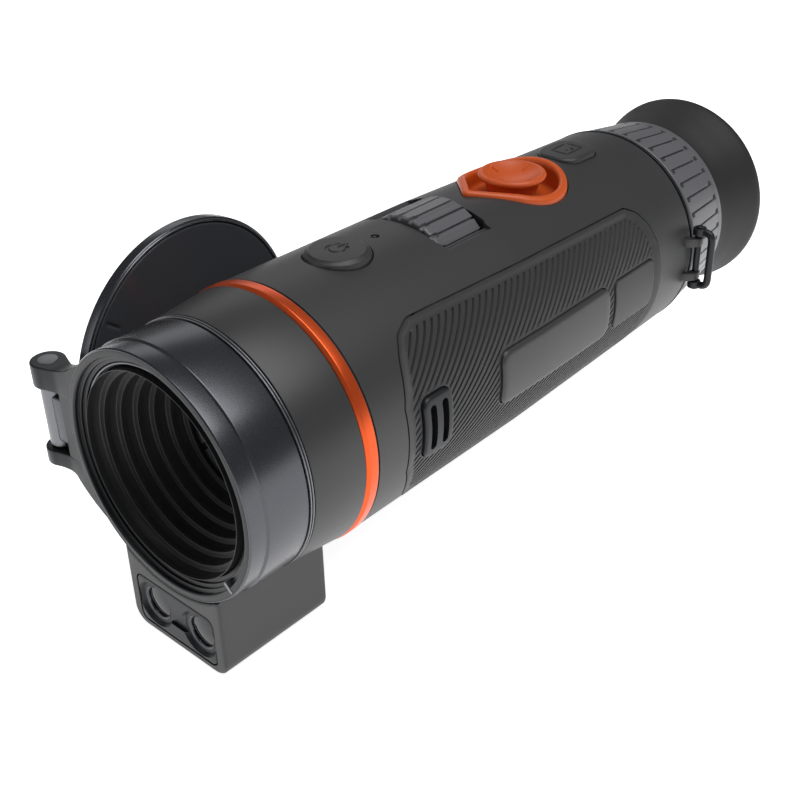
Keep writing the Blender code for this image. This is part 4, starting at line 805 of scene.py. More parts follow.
radii = np.linspace(FACE_R - 0.4, 0, 60)
flat_face = np.stack([radii, np.full_like(radii, OUTER_Y - 0.1)], 1)
face_grid = np.concatenate([softened(face_profile[:-1], 0.1, closed=False), flat_face])
piece(
    "cover_mirror_face", swung(turned(face_grid, 360, push=witness_marks)), polished_acrylic,
    ["cover_face"], "lens_cover",
)
RIM_WIRE = 0.3
a = np.linspace(0, TURN, 16, endpoint=False)
rim_line = np.stack([COVER_R - 0.7 + RIM_WIRE * np.cos(a), OUTER_Y + 0.05 + RIM_WIRE * np.sin(a)], 1)
piece("cover_rim_line", swung(turned(rim_line, 256)), grey_anodised, (), "lens_cover", ring=True)
seal_profile = [
    (COVER_R - 3.7, SHUT_Y - 0.6), (COVER_R - 9.4, SHUT_Y - 0.6), (COVER_R - 9.0, SHUT_Y - 0.15),
    (COVER_R - 6.8, SHUT_Y - 0.1), (COVER_R - 4.2, SHUT_Y - 0.15),
]
piece(
    "cover_seal_soft", swung(turned(softened(seal_profile, 0.3), 192)), eyecup_rubber,
    ["cover_seal"], "lens_cover", ring=True,
)

# %% [markdown]
# ## Main body
# The body is one nylon moulding: a tube that swells slightly towards the front, with a scoop for the
# focus wheel, round holes for the buttons, a teardrop for the joystick and a shallow pocket on each
# side for a rubber grip. A fine tube is cut by the shapes that go in it, each one a gap wider.

# %% Skin radius along the body
GAP = 0.3
BODY_Y0 = span("trim_ring")[1][1] + GAP
REAR_Y = span("diopter_ring")[0][1] - 1.6
FRONT_R, MID_R, REAR_R, MID_Y = 33.2, 32.8, 30.7, 100.0


def skin(y):
    """Radius of the body at this distance: straight from the front to the middle and on to the rear."""
    return np.interp(y, (BODY_Y0, MID_Y, REAR_Y), (FRONT_R, MID_R, REAR_R))


def skin_normal(points):
    """The skin's own unit normal: outwards from the axis, tipped by the slope of the radius."""
    y = points[:, 1]
    slope = skin(y + 0.5) - skin(y - 0.5)
    radius = np.hypot(points[:, 0], points[:, 2])
    normal = np.stack([points[:, 0] / radius, -slope, points[:, 2] / radius], 1)
    return normal / np.linalg.norm(normal, axis=1, keepdims=True)


def on_side(grid, side=1):
    """Bends (depth, y, z) points round the body's side: x is sqrt((radius + depth)^2 - z^2)."""
    depth, y, z = grid[..., 0], grid[..., 1], grid[..., 2]
    return np.stack([side * np.sqrt((skin(y) + depth) ** 2 - z**2), y, z], -1)


WALL = 4.2
stations = np.linspace(REAR_Y - 0.4, BODY_Y0 + 0.3, 70)
outer = np.stack([skin(stations), stations], 1)
ends = [(REAR_R - 0.3, REAR_Y), (REAR_R - WALL, REAR_Y), (FRONT_R - WALL, BODY_Y0), (FRONT_R - 0.3, BODY_Y0)]
print("body from", round(BODY_Y0, 2), "to", round(REAR_Y, 2), "mm")

# %% Outlines of what is cut out
WHEEL_Y, WHEEL_Z, WHEEL_R = 91.5, 20.0, 14.4
JOY_Y, RIM_R, RIM_APEX = 127.0, 15.0, 106.5
CAMERA_Y = 152.5
POWER_Y, POWER_R = 59.5, 8.3
LED_Y = 72.5


def teardrop(radius, apex, nose=1.6, steps=72):
    """A circle about the joystick and a small nose circle at the apex, joined by their two tangents."""
    reach = JOY_Y - apex - nose
    lean = math.asin((radius - nose) / reach)
    big = np.linspace(-lean, math.pi + lean, steps)
    small = np.linspace(math.pi + lean, TURN - lean, 14)
    circle = np.stack([radius * np.cos(big), JOY_Y + radius * np.sin(big)], 1)
    tip = np.stack([nose * np.cos(small), apex + nose + nose * np.sin(small)], 1)
    return np.concatenate([circle, tip])


grip_low, grip_high = span("grip_right")
GRIP_Y0, GRIP_Y1, GRIP_TOP = grip_low[1], grip_high[1], grip_high[2]


def grip_reach(y):
    """Half height of the grip at this distance: it widens quickly at the front, narrows a little along
    the body, and closes in a round end at the rear."""
    at = (GRIP_Y0, 50, 53, 58, 148, 152, 155, GRIP_Y1)
    below_top = (GRIP_TOP - 8, 6, 1.8, 0, 2.4, 4.5, 8.5, 14)
    return GRIP_TOP - np.interp(y, at, below_top)


END_ROWS = 40
grip_stations = np.concatenate(
    [np.linspace(GRIP_Y0, 60, END_ROWS), np.linspace(61, 146, 60), np.linspace(146.5, GRIP_Y1, END_ROWS)]
)
soft_reach = np.convolve(np.pad(grip_reach(grip_stations), 2, "edge"), np.ones(5) / 5, "valid")
grip_outline = np.concatenate(
    [np.stack([grip_stations, -soft_reach], 1), np.stack([grip_stations[::-1], soft_reach[::-1]], 1)]
)
grip_outline = spaced(grip_outline, 300)
print("grip outline points:", len(grip_outline))

# %% Cut the body
body_skin = piece(
    "body_skin", turned(np.concatenate([outer, ends]), 288), moulded_nylon, ["main_housing"],
    ring=True, sharp=30,
)
pocket_outline = grip_outline + outward(grip_outline) * GAP
pocket = prism(pocket_outline, -2.1, 6.0, 0.0, "x", rings=2, centre=(100, 0))
window = prism(box_outline(12.2, 9.2, 1.5, (0, WHEEL_Y)), 22, 40, 0, "z")
SCOOP_R, SCOOP_LOW, SCOOP_HALF = 60.0, 27.8, 8.5
scoop_profile = [(r, WHEEL_Y + end * SCOOP_HALF) for r, end in ((0, -1), (SCOOP_R, -1), (SCOOP_R, 1), (0, 1))]
scoop = turned(scoop_profile, 240, "y", (0, 0, SCOOP_R + SCOOP_LOW))
holes = [
    turned([(0, 20), (POWER_R + GAP, 20), (POWER_R + GAP, 40), (0, 40)], 96, "z", (0, POWER_Y, 0)),
    turned([(0, 20), (1.1, 20), (1.1, 40), (0, 40)], 32, "z", (0, LED_Y, 0)),
    prism(teardrop(RIM_R + GAP, RIM_APEX - GAP), 20, 40, 0, "z"),
    prism(box_outline(6.9, 7.9, 4.9, (0, CAMERA_Y), 14), 20, 40, 0, "z"),
    on_side(pocket, 1),
    on_side(pocket, -1),
]
cut(body_skin, *holes, sharp=30)
cut(body_skin, scoop)
cut(body_skin, window)
true_normals(body_skin, skin_normal)

# %% [markdown]
# ## Rubber grips
# Each side of the body has a soft grip pressed into its pocket. Its border slopes in from the body's
# skin, and inside it narrow grooves run down from the top edge and sweep forwards in one long curve,
# which leaves broad ribs between them. The grooves are left out in a clear band around each fitting.

# %% Rib pattern
RIB_PITCH = 2.55
RIB_FALL, RIB_BEND = 1.3, 4.0
BORDER = 3.3
PANEL_DEPTH = -0.55
GROOVE_DEPTH = 1.05
GROOVE_HALF, GROOVE_MID, GROOVE_EDGE = 0.19, 0.27, 0.34


def sweep(z):
    """How far forward a groove has come at this height, sqrt((fall (top - z))^2 + bend^2) - bend, and how
    much longer a step along the body is than a step square across the groove, sqrt(1 + slope^2)."""
    drop = GRIP_TOP - z
    curve = np.sqrt((RIB_FALL * drop) ** 2 + RIB_BEND**2)
    return curve - RIB_BEND, np.sqrt(1 + (RIB_FALL**2 * drop / curve) ** 2)


def groove(y, z):
    """1 in a groove and 0 on a rib, from the distance square across to the nearest groove line."""
    forward, stretch = sweep(z)
    share = ((y + forward) / RIB_PITCH) % 1
    across = np.minimum(share, 1 - share) * RIB_PITCH / stretch
    return 1 - rise(GROOVE_HALF, GROOVE_EDGE, across)


def box_distance(y, z, centre, half, radius):
    """Distance from a rounded rectangle, negative inside it."""
    dy = np.abs(y - centre[0]) - half[0] + radius
    dz = np.abs(z - centre[1]) - half[1] + radius
    return np.hypot(np.maximum(dy, 0), np.maximum(dz, 0)) + np.minimum(np.maximum(dy, dz), 0) - radius


def edge_distance(y, z):
    """Distance inwards from the grip's edge, measured along the skin: the least distance to its outline."""
    flat = np.stack([y.ravel(), skin(y.ravel()) * np.arcsin(z.ravel() / skin(y.ravel()))], 1)
    rim = np.stack([grip_outline[:, 0], 32 * np.arcsin(grip_outline[:, 1] / 32)], 1)
    least = np.full(len(flat), 99.0)
    for point in rim:
        least = np.minimum(least, np.hypot(*(flat - point).T))
    return least.reshape(y.shape)


PLATE = ((106.0, 0.0), (24.0, 7.4), 3.0)
PORT = ((143.5, 0.0), (10.0, 7.0), 2.0)
ANCHOR = ((57.5, 0.0), (5.0, 8.0), 2.5)
FITTINGS = (PLATE, PORT, ANCHOR)
print("rib pitch", RIB_PITCH, "mm, about", round((GRIP_Y1 - GRIP_Y0) / RIB_PITCH), "ribs")

# %% Grip surfaces
columns = GRIP_TOP * np.sin(np.linspace(-1, 1, 150) * 1.5) / math.sin(1.5)
grip_front = np.interp(np.abs(columns), soft_reach[:END_ROWS], grip_stations[:END_ROWS])
grip_rear = np.interp(-np.abs(columns), -soft_reach[END_ROWS:], grip_stations[END_ROWS:])
forward, stretch = sweep(columns[None, :])
first = math.floor(GRIP_Y0 / RIB_PITCH)
last = math.ceil((GRIP_Y1 + forward.max()) / RIB_PITCH)
number = np.arange(first, last)[:, None, None]
wall = stretch * np.array([[GROOVE_HALF], [GROOVE_MID], [GROOVE_EDGE]])
rib_middle = np.full_like(stretch, RIB_PITCH / 2)
offset = np.concatenate([np.zeros_like(rib_middle), wall, rib_middle, RIB_PITCH - wall[::-1]])
y = (number * RIB_PITCH + offset[None]).reshape(-1, len(columns)) - forward
y = np.clip(y, grip_front[None, :], grip_rear[None, :])
z = np.broadcast_to(columns[None, :], y.shape)
print("grip grid:", y.shape)


def grip_top(y, z, fittings):
    """Depth of the rubber: it slopes in over the border, and grooves are sunk in the panel inside it."""
    inset = edge_distance(y, z)
    clear = rise(BORDER - 0.1, BORDER + 0.15, inset)
    depth = 0.1 + (PANEL_DEPTH - 0.1) * rise(0.15, BORDER, inset)
    for centre, half, radius in fittings:
        clear = clear * rise(0.9, 1.15, box_distance(y, z, centre, half, radius))
    return depth - GROOVE_DEPTH * clear * groove(y, z)


for name, side, fittings in (("grip_right", 1, FITTINGS), ("grip_left", -1, ())):
    top = on_side(np.stack([grip_top(y, z, fittings), y, z], -1), side)
    thin = np.linspace(0, len(y) - 1, 60).astype(int)
    under = on_side(np.stack([np.full_like(y[thin], -1.8), y[thin], z[thin]], -1), side)
    loop = np.concatenate([top, under[::-1]], axis=0).transpose(1, 0, 2)
    grip = piece(name + "_ribs", loop, grip_rubber, [name], sharp=42)
    if fittings:
        rooms = []
        for centre, half, radius in fittings:
            room = box_outline(half[0] + GAP, half[1] + GAP, radius + GAP, centre, 10)
            rooms.append(on_side(prism(room, -4, 4, 0, "x")))
        cut(grip, *rooms, sharp=42)

# %% [markdown]
# ## Fittings on the grip side
# A raised blank name plate, a satin anchor with two slots for a hand strap, and a soft rubber door
# over the charging port. All are rounded rectangles bent round the body, with their own edge shapes.

# %% Name plate, anchor and port cover
plate_outline = spaced(box_outline(*PLATE[1], PLATE[2], PLATE[0], 12), 220)
plate = prism(plate_outline, -1.4, 0.45, 1.1, "x", height=0.5, steps=3, rings=14)
piece("blank_name_plate", on_side(plate), moulded_nylon, ["name_plate"])

anchor_outline = spaced(box_outline(*ANCHOR[1], ANCHOR[2], ANCHOR[0], 12), 120)
anchor = piece(
    "strap_anchor_frame", on_side(prism(anchor_outline, -1.7, 0.5, 0.6, "x", rings=10)), satin_anodised,
    ["strap_anchor"],
)
slots = []
for shift in (-2.1, 2.1):
    slot_outline = box_outline(1.05, ANCHOR[1][1] - 2.0, 1.04, (ANCHOR[0][0] + shift, 0), 10)
    slots.append(on_side(prism(slot_outline, -1.25, 4, 0, "x")))
cut(anchor, *slots)

port_outline = spaced(box_outline(*PORT[1], PORT[2], PORT[0], 12), 160)
door = prism(port_outline, -1.7, -0.1, 0.25, "x", rings=14)
piece("port_door", on_side(door), grip_rubber, ["port_cover"], "port_cover")

# %% [markdown]
# ## Buttons
# Both buttons are rubber pads with a soft shoulder and a slightly domed top. Their symbols, the usual
# ones for power and for a camera frame, are pressed into the top. The pads are polar grids, and the
# symbols are functions of x and y that lower the surface where a line of the symbol runs.


# %% Power button
def stroke(distance, half=0.3):
    """1 on a drawn line, falling to 0 past half its width."""
    return 1 - rise(half, half + 0.22, distance)


def power_symbol(radius, distance, angle):
    """A ring open at the rear with a bar standing in the opening, sunk 0.35 mm."""
    x, y = radius * np.cos(angle), radius * np.sin(angle)
    opening = (y > 0) & (np.abs(x) < 0.95)
    arc = stroke(np.abs(radius - 2.35)) * ~opening
    bar = stroke(np.hypot(x, np.maximum(np.abs(y - 1.9) - 1.2, 0)))
    on_top = distance > skin(POWER_Y)
    return 0, -0.35 * np.maximum(arc, bar) * on_top


skin_z = skin(POWER_Y)
shoulder = [
    (POWER_R, skin_z - 3.4), (POWER_R, skin_z - 0.2), (POWER_R - 0.25, skin_z + 0.45),
    (POWER_R - 1.3, skin_z + 0.95),
]
dome_r = np.linspace(POWER_R - 1.4, 0, 60)
dome = np.stack([dome_r, skin_z + 1.0 + 0.45 * (1 - (dome_r / POWER_R) ** 2)], 1)
power_profile = np.concatenate([[(0, skin_z - 3.4)], softened(shoulder, 0.25, closed=False), dome])
piece(
    "power_pad", turned(power_profile, 200, "z", (0, POWER_Y, 0), power_symbol), moulded_nylon,
    ["power_button"], "power_button",
)

# %% Camera button
PAD_X, PAD_Y = 6.6, 7.6
camera_outline = spaced(box_outline(PAD_X, PAD_Y, 4.6, (0, CAMERA_Y), 14), 200)
camera_pad = prism(camera_outline, 27.8, skin(CAMERA_Y) + 0.85, 0.9, "z", height=0.8, rings=56)
x, y = camera_pad[..., 0], camera_pad[..., 1] - CAMERA_Y
top = camera_pad[..., 2] > skin(CAMERA_Y) + 0.5
frame_line = stroke(np.abs(box_distance(x, y, (0, 0), (2.7, 3.6), 0.8)), 0.22)
hump = stroke(np.abs(np.hypot(x - 0.5, y) - 1.2), 0.2) * (x > 0.5)
swell = 0.25 * (1 - (x / PAD_X) ** 2 - (y / PAD_Y) ** 2)
camera_pad[..., 2] += top * (swell - 0.3 * np.maximum(frame_line, hump))
piece("camera_pad", camera_pad, moulded_nylon, ["camera_button"], "camera_button")

# %% Status light
led_z = skin(LED_Y)
led_profile = [(0, 27.5), (0.9, 27.5), (0.9, led_z - 0.3), (0.4, led_z - 0.05), (0, led_z)]
led = turned(softened(led_profile, 0.2, closed=False), 40, "z", (0, LED_Y, 0))
piece("status_lens", led, dark_window, ["status_light"])

# %% [markdown]
# ## Focus wheel
# The wheel is a ribbed drum that stands a few millimetres out of a window in the scoop. Its ribs are
# broad and flat with narrow slots between them, and each slot opens into a small square notch at the
# front end. The outline is one circle whose radius steps down in the slots.

# %% Ribbed drum
WHEEL_RIBS = 24
wheel_low, wheel_high = span("focus_wheel")
y0, y1 = wheel_low[1], wheel_high[1]


def wheel_ribs(radius, distance, angle):
    """Each slot is 0.6 mm wide and 0.8 deep, and 1.2 mm wide in a notch near the front end."""
    share = (angle * WHEEL_RIBS / TURN) % 1 - 0.5
    across = np.abs(share) * TURN * WHEEL_R / WHEEL_RIBS
    half = 0.28 + 0.32 * rise(y0 + 2.2, y0 + 2.0, distance)
    slot = 1 - rise(half - 0.04, half + 0.08, across)
    crown = -0.10 * (across / 1.9) ** 2
    return (radius > WHEEL_R - 1.5) * (crown - 0.8 * slot), 0


tread_y = np.concatenate([[y0 + 0.25], np.linspace(y0 + 0.6, y1 - 0.6, 44), [y1 - 0.25]])
tread = np.stack([np.full_like(tread_y, WHEEL_R), tread_y], 1)
tread[[0, -1], 0] -= 0.12
hub_radii = [2.2, WHEEL_R - 1.6, WHEEL_R - 0.5]
wheel_profile = [*((r, y0) for r in hub_radii), *tread, *((r, y1) for r in hub_radii[::-1])]
WHEEL_COLUMNS = 48 * WHEEL_RIBS
drum = turned(wheel_profile, WHEEL_COLUMNS, "y", (0, 0, WHEEL_Z), wheel_ribs)
piece(
    "ribbed_focus_wheel", drum, painted_sheen_rubber,
    ["focus_wheel"], "focus_wheel", ring=True, sharp=28,
)
LIP_X, LIP_Y, LIP_WIRE = 12.35, 9.35, 0.22
lip_outline = spaced(box_outline(LIP_X, LIP_Y, 1.6, (0, WHEEL_Y), 10), 240)
lip_z = SCOOP_LOW + SCOOP_R - np.sqrt(SCOOP_R**2 - lip_outline[:, 0] ** 2)
lip_normal = outward(lip_outline)
lip_rows = []
for turn in np.linspace(0, TURN, 12, endpoint=False):
    ring = lip_outline + lip_normal * LIP_WIRE * math.cos(turn)
    lip_rows.append(np.column_stack([ring, lip_z + 0.02 + LIP_WIRE * math.sin(turn)]))
piece("wheel_window_lip", np.stack(lip_rows), grey_anodised, ring=True)

# %% [markdown]
# ## Joystick
# An orange thumb stick stands in a teardrop well with a thick rounded rim. The rim's wall is one profile
# carried round the teardrop, and its top follows the curve of the body, so it looks lower at the
# sides. The cap is dished for the thumb, with four moulded ticks for its four directions.

# %% Rim and well
well = teardrop(RIM_R, RIM_APEX)
well_normal = outward(well)
WELL_FLOOR, WELL_UNDER = 25.9, 24.6


def well_row(inset, lift=None, level=None):
    """The outline drawn in by inset, at a height above the skin (lift) or at one level."""
    ring = well - well_normal * inset
    if level is None:
        height = np.sqrt((skin(ring[:, 1]) + lift) ** 2 - ring[:, 0] ** 2)
    else:
        height = np.full(len(ring), level)
    return np.column_stack([ring, height])


STEM_R = 5.4
around = np.arctan2(well[:, 1] - JOY_Y, well[:, 0])
stem_ring = np.column_stack([STEM_R * np.cos(around), JOY_Y + STEM_R * np.sin(around)])
stem = [np.column_stack([stem_ring, np.full(len(well), level)]) for level in (WELL_FLOOR, WELL_UNDER)]
LIP_SHAPE = (
    (0, 0.0), (0.05, 0.55), (0.3, 0.95), (0.75, 1.17), (1.25, 1.2), (1.75, 1.05), (2.15, 0.7), (2.4, 0.1),
    (2.5, -0.6),
)
lip = [well_row(inset, lift) for inset, lift in LIP_SHAPE]
foot = [well_row(inset, level=WELL_FLOOR + up) for inset, up in ((2.5, 1.2), (2.7, 0.4), (3.3, 0))]
well_rows = np.stack([well_row(0, level=WELL_UNDER), *lip, *foot, *stem])
piece("joystick_well", well_rows, orange_plastic, ["joystick_rim"], ring=True, sharp=50)


# %% Thumb cap
def ticks(radius, distance, angle):
    """Four short grooves on the sloping inside of the cap, each 0.6 mm wide and 0.32 deep."""
    quarter = np.abs((angle + math.pi / 4) % (math.pi / 2) - math.pi / 4)
    mark = (radius * np.sin(quarter) < 0.3) & (radius > 5.0) & (radius < 7.6) & (distance > 31)
    return 0, np.where(mark, -0.32, 0)


JOY_R, JOY_TOP, DISH_R = 9.3, 33.4, 7.7
dish_r = np.linspace(0, DISH_R, 30)
thumb_dish = np.stack([dish_r, JOY_TOP - 2.3 + 2.1 * (dish_r / DISH_R) ** 2.2], 1)
cap_edge = [
    (7.8, JOY_TOP - 0.12), (8.3, JOY_TOP), (9.0, JOY_TOP - 0.25), (JOY_R, JOY_TOP - 0.9),
    (JOY_R - 0.2, JOY_TOP - 1.6), (JOY_R - 1.9, JOY_TOP - 2.2), (JOY_R - 2.3, 28.5), (3.4, 28.4),
    (3.4, 19.8), (0, 19.8),
]
cap_profile = np.concatenate([thumb_dish, softened(cap_edge, 0.35, closed=False)])
piece(
    "thumb_cap", turned(cap_profile, 256, "z", (0, JOY_Y, 0), ticks), orange_plastic,
    ["joystick_knob"], "joystick_knob", sharp=34,
)

# %% [markdown]
# ## Eyepiece end
# Behind the body come a narrow satin collar, the ribbed diopter ring and a flared rubber eyecup. The
# diopter ring has broad ribs with thin grooves, and each groove widens into a small step at one end, so
# that fingers feel its edge. It is one turned profile whose radius drops in the grooves.

# %% Collar and diopter ring
low, high = span("rear_collar")
TUBE_ROOM, COLLAR_LENGTH = 23.2, 0.9
collar_profile = [
    (high[0], high[1]), (high[0], high[1] - COLLAR_LENGTH), (TUBE_ROOM, high[1] - COLLAR_LENGTH),
    (TUBE_ROOM, high[1]),
]
piece(
    "rear_collar_fine", turned(softened(collar_profile, 0.2), 224), satin_anodised,
    ["rear_collar"], ring=True,
)
low, high = span("diopter_ring")
y0, y1 = low[1], high[1]
RING_RIBS = 40
RING_COLUMNS = 30 * RING_RIBS
FRONT, REAR = 30.4, 27.6
rib_start, rib_end = y0 + 1.5, y1 - 3.4


def ring_ribs(radius, distance, angle):
    """A groove 0.5 mm wide and 0.85 deep runs between ribs. At its front end it widens by 0.9 mm on one
    side, and at its rear end by as much on the other side."""
    share = (angle * RING_RIBS / TURN) % 1 - 0.5
    across = share * TURN * radius / RING_RIBS
    along = rise(rib_start - 0.1, rib_start + 0.2, distance) * rise(rib_end + 0.1, rib_end - 0.2, distance)
    front = 1 - rise(rib_start + 1.5, rib_start + 1.7, distance)
    rear = rise(rib_end - 1.7, rib_end - 1.5, distance)
    left = 0.24 + 0.9 * front
    right = 0.24 + 0.9 * rear
    sunk = rise(-left - 0.08, -left + 0.08, across) * (1 - rise(right - 0.08, right + 0.08, across))
    return -0.85 * sunk * along * (radius > 26), 0


RING_BORE = 23.4
cone_y = np.linspace(rib_start - 0.4, rib_end + 0.4, 56)
cone = np.stack([np.interp(cone_y, (y0 + 1, y1 - 3.6), (FRONT, REAR + 0.35)), cone_y], 1)
front_edge = [(RING_BORE, y0), (FRONT - 0.6, y0), (FRONT - 0.05, y0 + 0.5), (FRONT, y0 + 1.0)]
rear_edge = [(REAR + 0.3, y1 - 3.2), (REAR, y1 - 0.9), (REAR - 0.8, y1), (RING_BORE, y1)]
ring_profile = np.concatenate(
    [softened(front_edge, 0.25, closed=False), cone, softened(rear_edge, 0.3, closed=False)]
)
piece(
    "ribbed_diopter_ring", turned(ring_profile, RING_COLUMNS, push=ring_ribs), painted_sheen_rubber,
    ["diopter_ring"], "diopter_ring", ring=True, sharp=32,
)

# %% [markdown]
# ## Eyecup and eyepiece glass
# The eyecup is soft rubber, thin at its flared rim and thick where it grips the tube. Its wall has a
# gentle waist and one soft fold. Inside sit the eyepiece tube, a sliding cell and two coated lenses.

# %% Eyecup
low, high = span("eyecup")
y0, y1 = low[1], high[1]
CUP_R = (high[0] - low[0]) / 2
cup_profile = [
    (22.2, y0), (25.0, y0), (25.4, y0 + 1.2), (25.5, y0 + 3.0), (26.1, y0 + 5.6), (27.0, y0 + 8.4),
    (28.1, y0 + 12.0), (CUP_R, y1 - 2.4), (CUP_R, y1 - 0.7), (CUP_R - 0.7, y1), (CUP_R - 1.6, y1 - 0.1),
    (CUP_R - 2.5, y1 - 1.7), (CUP_R - 3.4, y1 - 5.5), (24.4, y0 + 8.0), (22.6, y0 + 4.2),
    (21.9, y0 + 2.8), (21.6, y0 + 0.8),
]
piece(
    "flared_eyecup", turned(softened(cup_profile, 1.2, steps=6), 256), eyecup_rubber,
    ["eyecup"], ring=True, sharp=60,
)

# %% Tube, cell and lenses
TUBE_R, FLANGE_R, TUBE_BORE, FLANGE = 22.9, 26.0, 18.0, 3.2
low, high = span("eyepiece_tube")
tube_profile = [
    (TUBE_R, high[1]), (TUBE_R, low[1] + FLANGE), (FLANGE_R, low[1] + FLANGE), (FLANGE_R, low[1]),
    (TUBE_BORE, low[1]), (TUBE_BORE, high[1]),
]
piece(
    "eyepiece_tube_fine", turned(softened(tube_profile, 0.3), 160), black_abs, ["eyepiece_tube"],
    ring=True,
)
low, high = span("eyepiece_cell")
cell_profile = [(17.6, high[1]), (17.6, low[1]), (15.7, low[1]), (15.7, high[1] - 1.2), (16.6, high[1])]
piece(
    "lens_cell", turned(softened(cell_profile, 0.15), 160), satin_anodised, ["eyepiece_cell"],
    "eyepiece_cell", ring=True,
)
for node, bulges in (("eyepiece_lens_front", (1.2, 0.6)), ("eyepiece_lens_rear", (1.0, 1.6))):
    low, high = span(node)
    glass = turned(domed(high[0], low[1] + bulges[0], high[1] - bulges[1], *bulges), 128)
    piece(node + "_glass", glass, eye_glass, [node], "eyepiece_cell")

# %% [markdown]
# ## Strap ring
# A dark satin wire is bent into a D and hung on a short pin between two small ears of the body. The wire is
# a round bar carried along a softened path, and its two eyes are small turned rings on the pin.

# %% Wire, eyes and pin
low, high = span("strap_pin")
STRAP_X, STRAP_Y = (low[:2] + high[:2]) / 2
WIRE_R, EYE_AT = 1.1, 8.4
bend = [(0, EYE_AT), (3.0, EYE_AT), (4.2, 7.2), (4.2, -7.2), (3.0, -EYE_AT), (0, -EYE_AT)]
wire_path = softened(bend, 1.6, closed=False, steps=9) + [STRAP_X, 0]
wire_path = np.column_stack([wire_path[:, 0], np.full(len(wire_path), STRAP_Y), wire_path[:, 1]])
moved_on = np.concatenate([[True], np.linalg.norm(np.diff(wire_path, axis=0), axis=1) > 1e-4])
wire_path = wire_path[moved_on]
wire_path[[0, -1], 0] += 0.9
wire = tube(wire_path, WIRE_R, (0, 1, 0), 28)
piece("strap_wire", wire, satin_anodised, ["strap_ring"], "strap_ring")
eyes = []
for at in (EYE_AT, -EYE_AT):
    eye_profile = [(1.1, at - WIRE_R), (1.9, at - WIRE_R), (1.9, at + WIRE_R), (1.1, at + WIRE_R)]
    eyes.append(turned(softened(eye_profile, 0.25), 48, "z", (STRAP_X, STRAP_Y, 0)))
piece("strap_eyes", eyes, satin_anodised, (), "strap_ring", ring=True)
bar_profile = softened([(0, -10), (1.0, -10), (1.0, 10), (0, 10)], 0.3, closed=False)
bar = turned(bar_profile, 40, "z", (STRAP_X, STRAP_Y, 0))
piece("strap_bar", bar, satin_anodised, ["strap_pin"])
lug_corners = [
    (28.9, 170.2), (31.6, 171.0), (33.4, 173.2), (33.7, 175.2), (33.2, 176.6), (31.3, 176.8),
    (30.95, 175.4), (30.9, 173.4), (29.4, 172.6),
]
lug_outline = spaced(softened(lug_corners, 0.8), 60)
lugs = [prism(lug_outline, at - 1.2, at + 1.2, 0.3, "z", centre=(32.0, 174.0)) for at in (5.4, -5.4)]
piece("strap_lugs", lugs, moulded_nylon)

# %% [markdown]
# ## Rangefinder block
# The laser rangefinder hangs below the barrel in a plain box with rounded lower corners, whose top is
# hollowed to the barrel. In its front is a recessed plate with two round windows, one that sends and
# one that receives, joined by a shallow trough. Bevelled rims round the windows catch the light.

# %% Box with a hollowed top
range_low, range_high = span("range_block")
RANGE_X, RANGE_Y0, RANGE_Y1, RANGE_Z = range_high[0], range_low[1], range_high[1], range_low[2]
CORNER = 4.0


def saddle_radius(y):
    """Radius of what the block hangs from, with a gap: it grows with the lens housing."""
    return np.interp(y, (4.2, 4.5, 16.6, 18.3, 33.4), (31.3, 31.7, 31.9, 32.0, 33.6))


def block_row(y, inset):
    """The block's outline at y: a hollow arc on top, straight sides, and quarter circles at the bottom."""
    half = RANGE_X - inset
    radius = saddle_radius(y) + inset
    x = np.linspace(half, -half, 41)
    top = np.stack([x, -np.sqrt(radius**2 - x**2)], 1)
    a = np.linspace(math.pi, 1.5 * math.pi, 14)
    left = np.stack([CORNER - half + CORNER * np.cos(a), RANGE_Z + inset + CORNER + CORNER * np.sin(a)], 1)
    right = left[::-1] * [-1, 1]
    side_z = np.linspace(top[-1, 1], left[0, 1], 14)[1:-1]
    left_side = np.stack([np.full_like(side_z, -half), side_z], 1)
    right_side = left_side[::-1] * [-1, 1]
    ring = np.concatenate([top, left_side, left, right, right_side])
    return np.column_stack([ring[:, 0], np.full(len(ring), y), ring[:, 1]])


EDGE = 0.8
rounding = [(EDGE * (1 - math.cos(s)), EDGE * (1 - math.sin(s))) for s in np.linspace(0, math.pi / 2, 7)]
stations = [(RANGE_Y0 + back, inset) for back, inset in rounding]
stations += [(y, 0.0) for y in np.linspace(RANGE_Y0 + 2, RANGE_Y1 - 2, 16)]
stations += [(RANGE_Y1 - back, inset) for back, inset in rounding[::-1]]
block_rows = [block_row(y, inset) for y, inset in stations]
BLOCK_MIDDLE = -41.0
shares = np.linspace(0, 1, 8, endpoint=False)


def closing(row, share):
    """A row drawn in towards the middle of the end face by this share."""
    centre = np.array([0, row[0, 1], BLOCK_MIDDLE])
    return centre + (row - centre) * share


front_end = [closing(block_rows[0], share) for share in shares]
rear_end = [closing(block_rows[-1], share) for share in shares[::-1]]
block = np.stack(front_end + block_rows + rear_end)
range_box = piece("range_box", block, moulded_nylon, ["range_block"], sharp=50)
bezel_low, bezel_high = span("range_bezel")
BEZEL_Z = (bezel_low[2] + bezel_high[2]) / 2
recess = prism(box_outline(14.15, 7.25, 2.45, (0, BEZEL_Z), 12), RANGE_Y0 - 3, RANGE_Y0 + 2.2, 0, "y")
SCREWS = ((7.5, "range_screw_front"), (25.5, "range_screw_rear"))
screw_room = [(0, -2), (2.5, -2), (2.2, 0.3), (2.2, 1.4), (0, 1.4)]
wells = [turned(screw_room, 64, "z", (0, y, RANGE_Z)) for y, _ in SCREWS]
cut(range_box, recess, *wells, sharp=40)

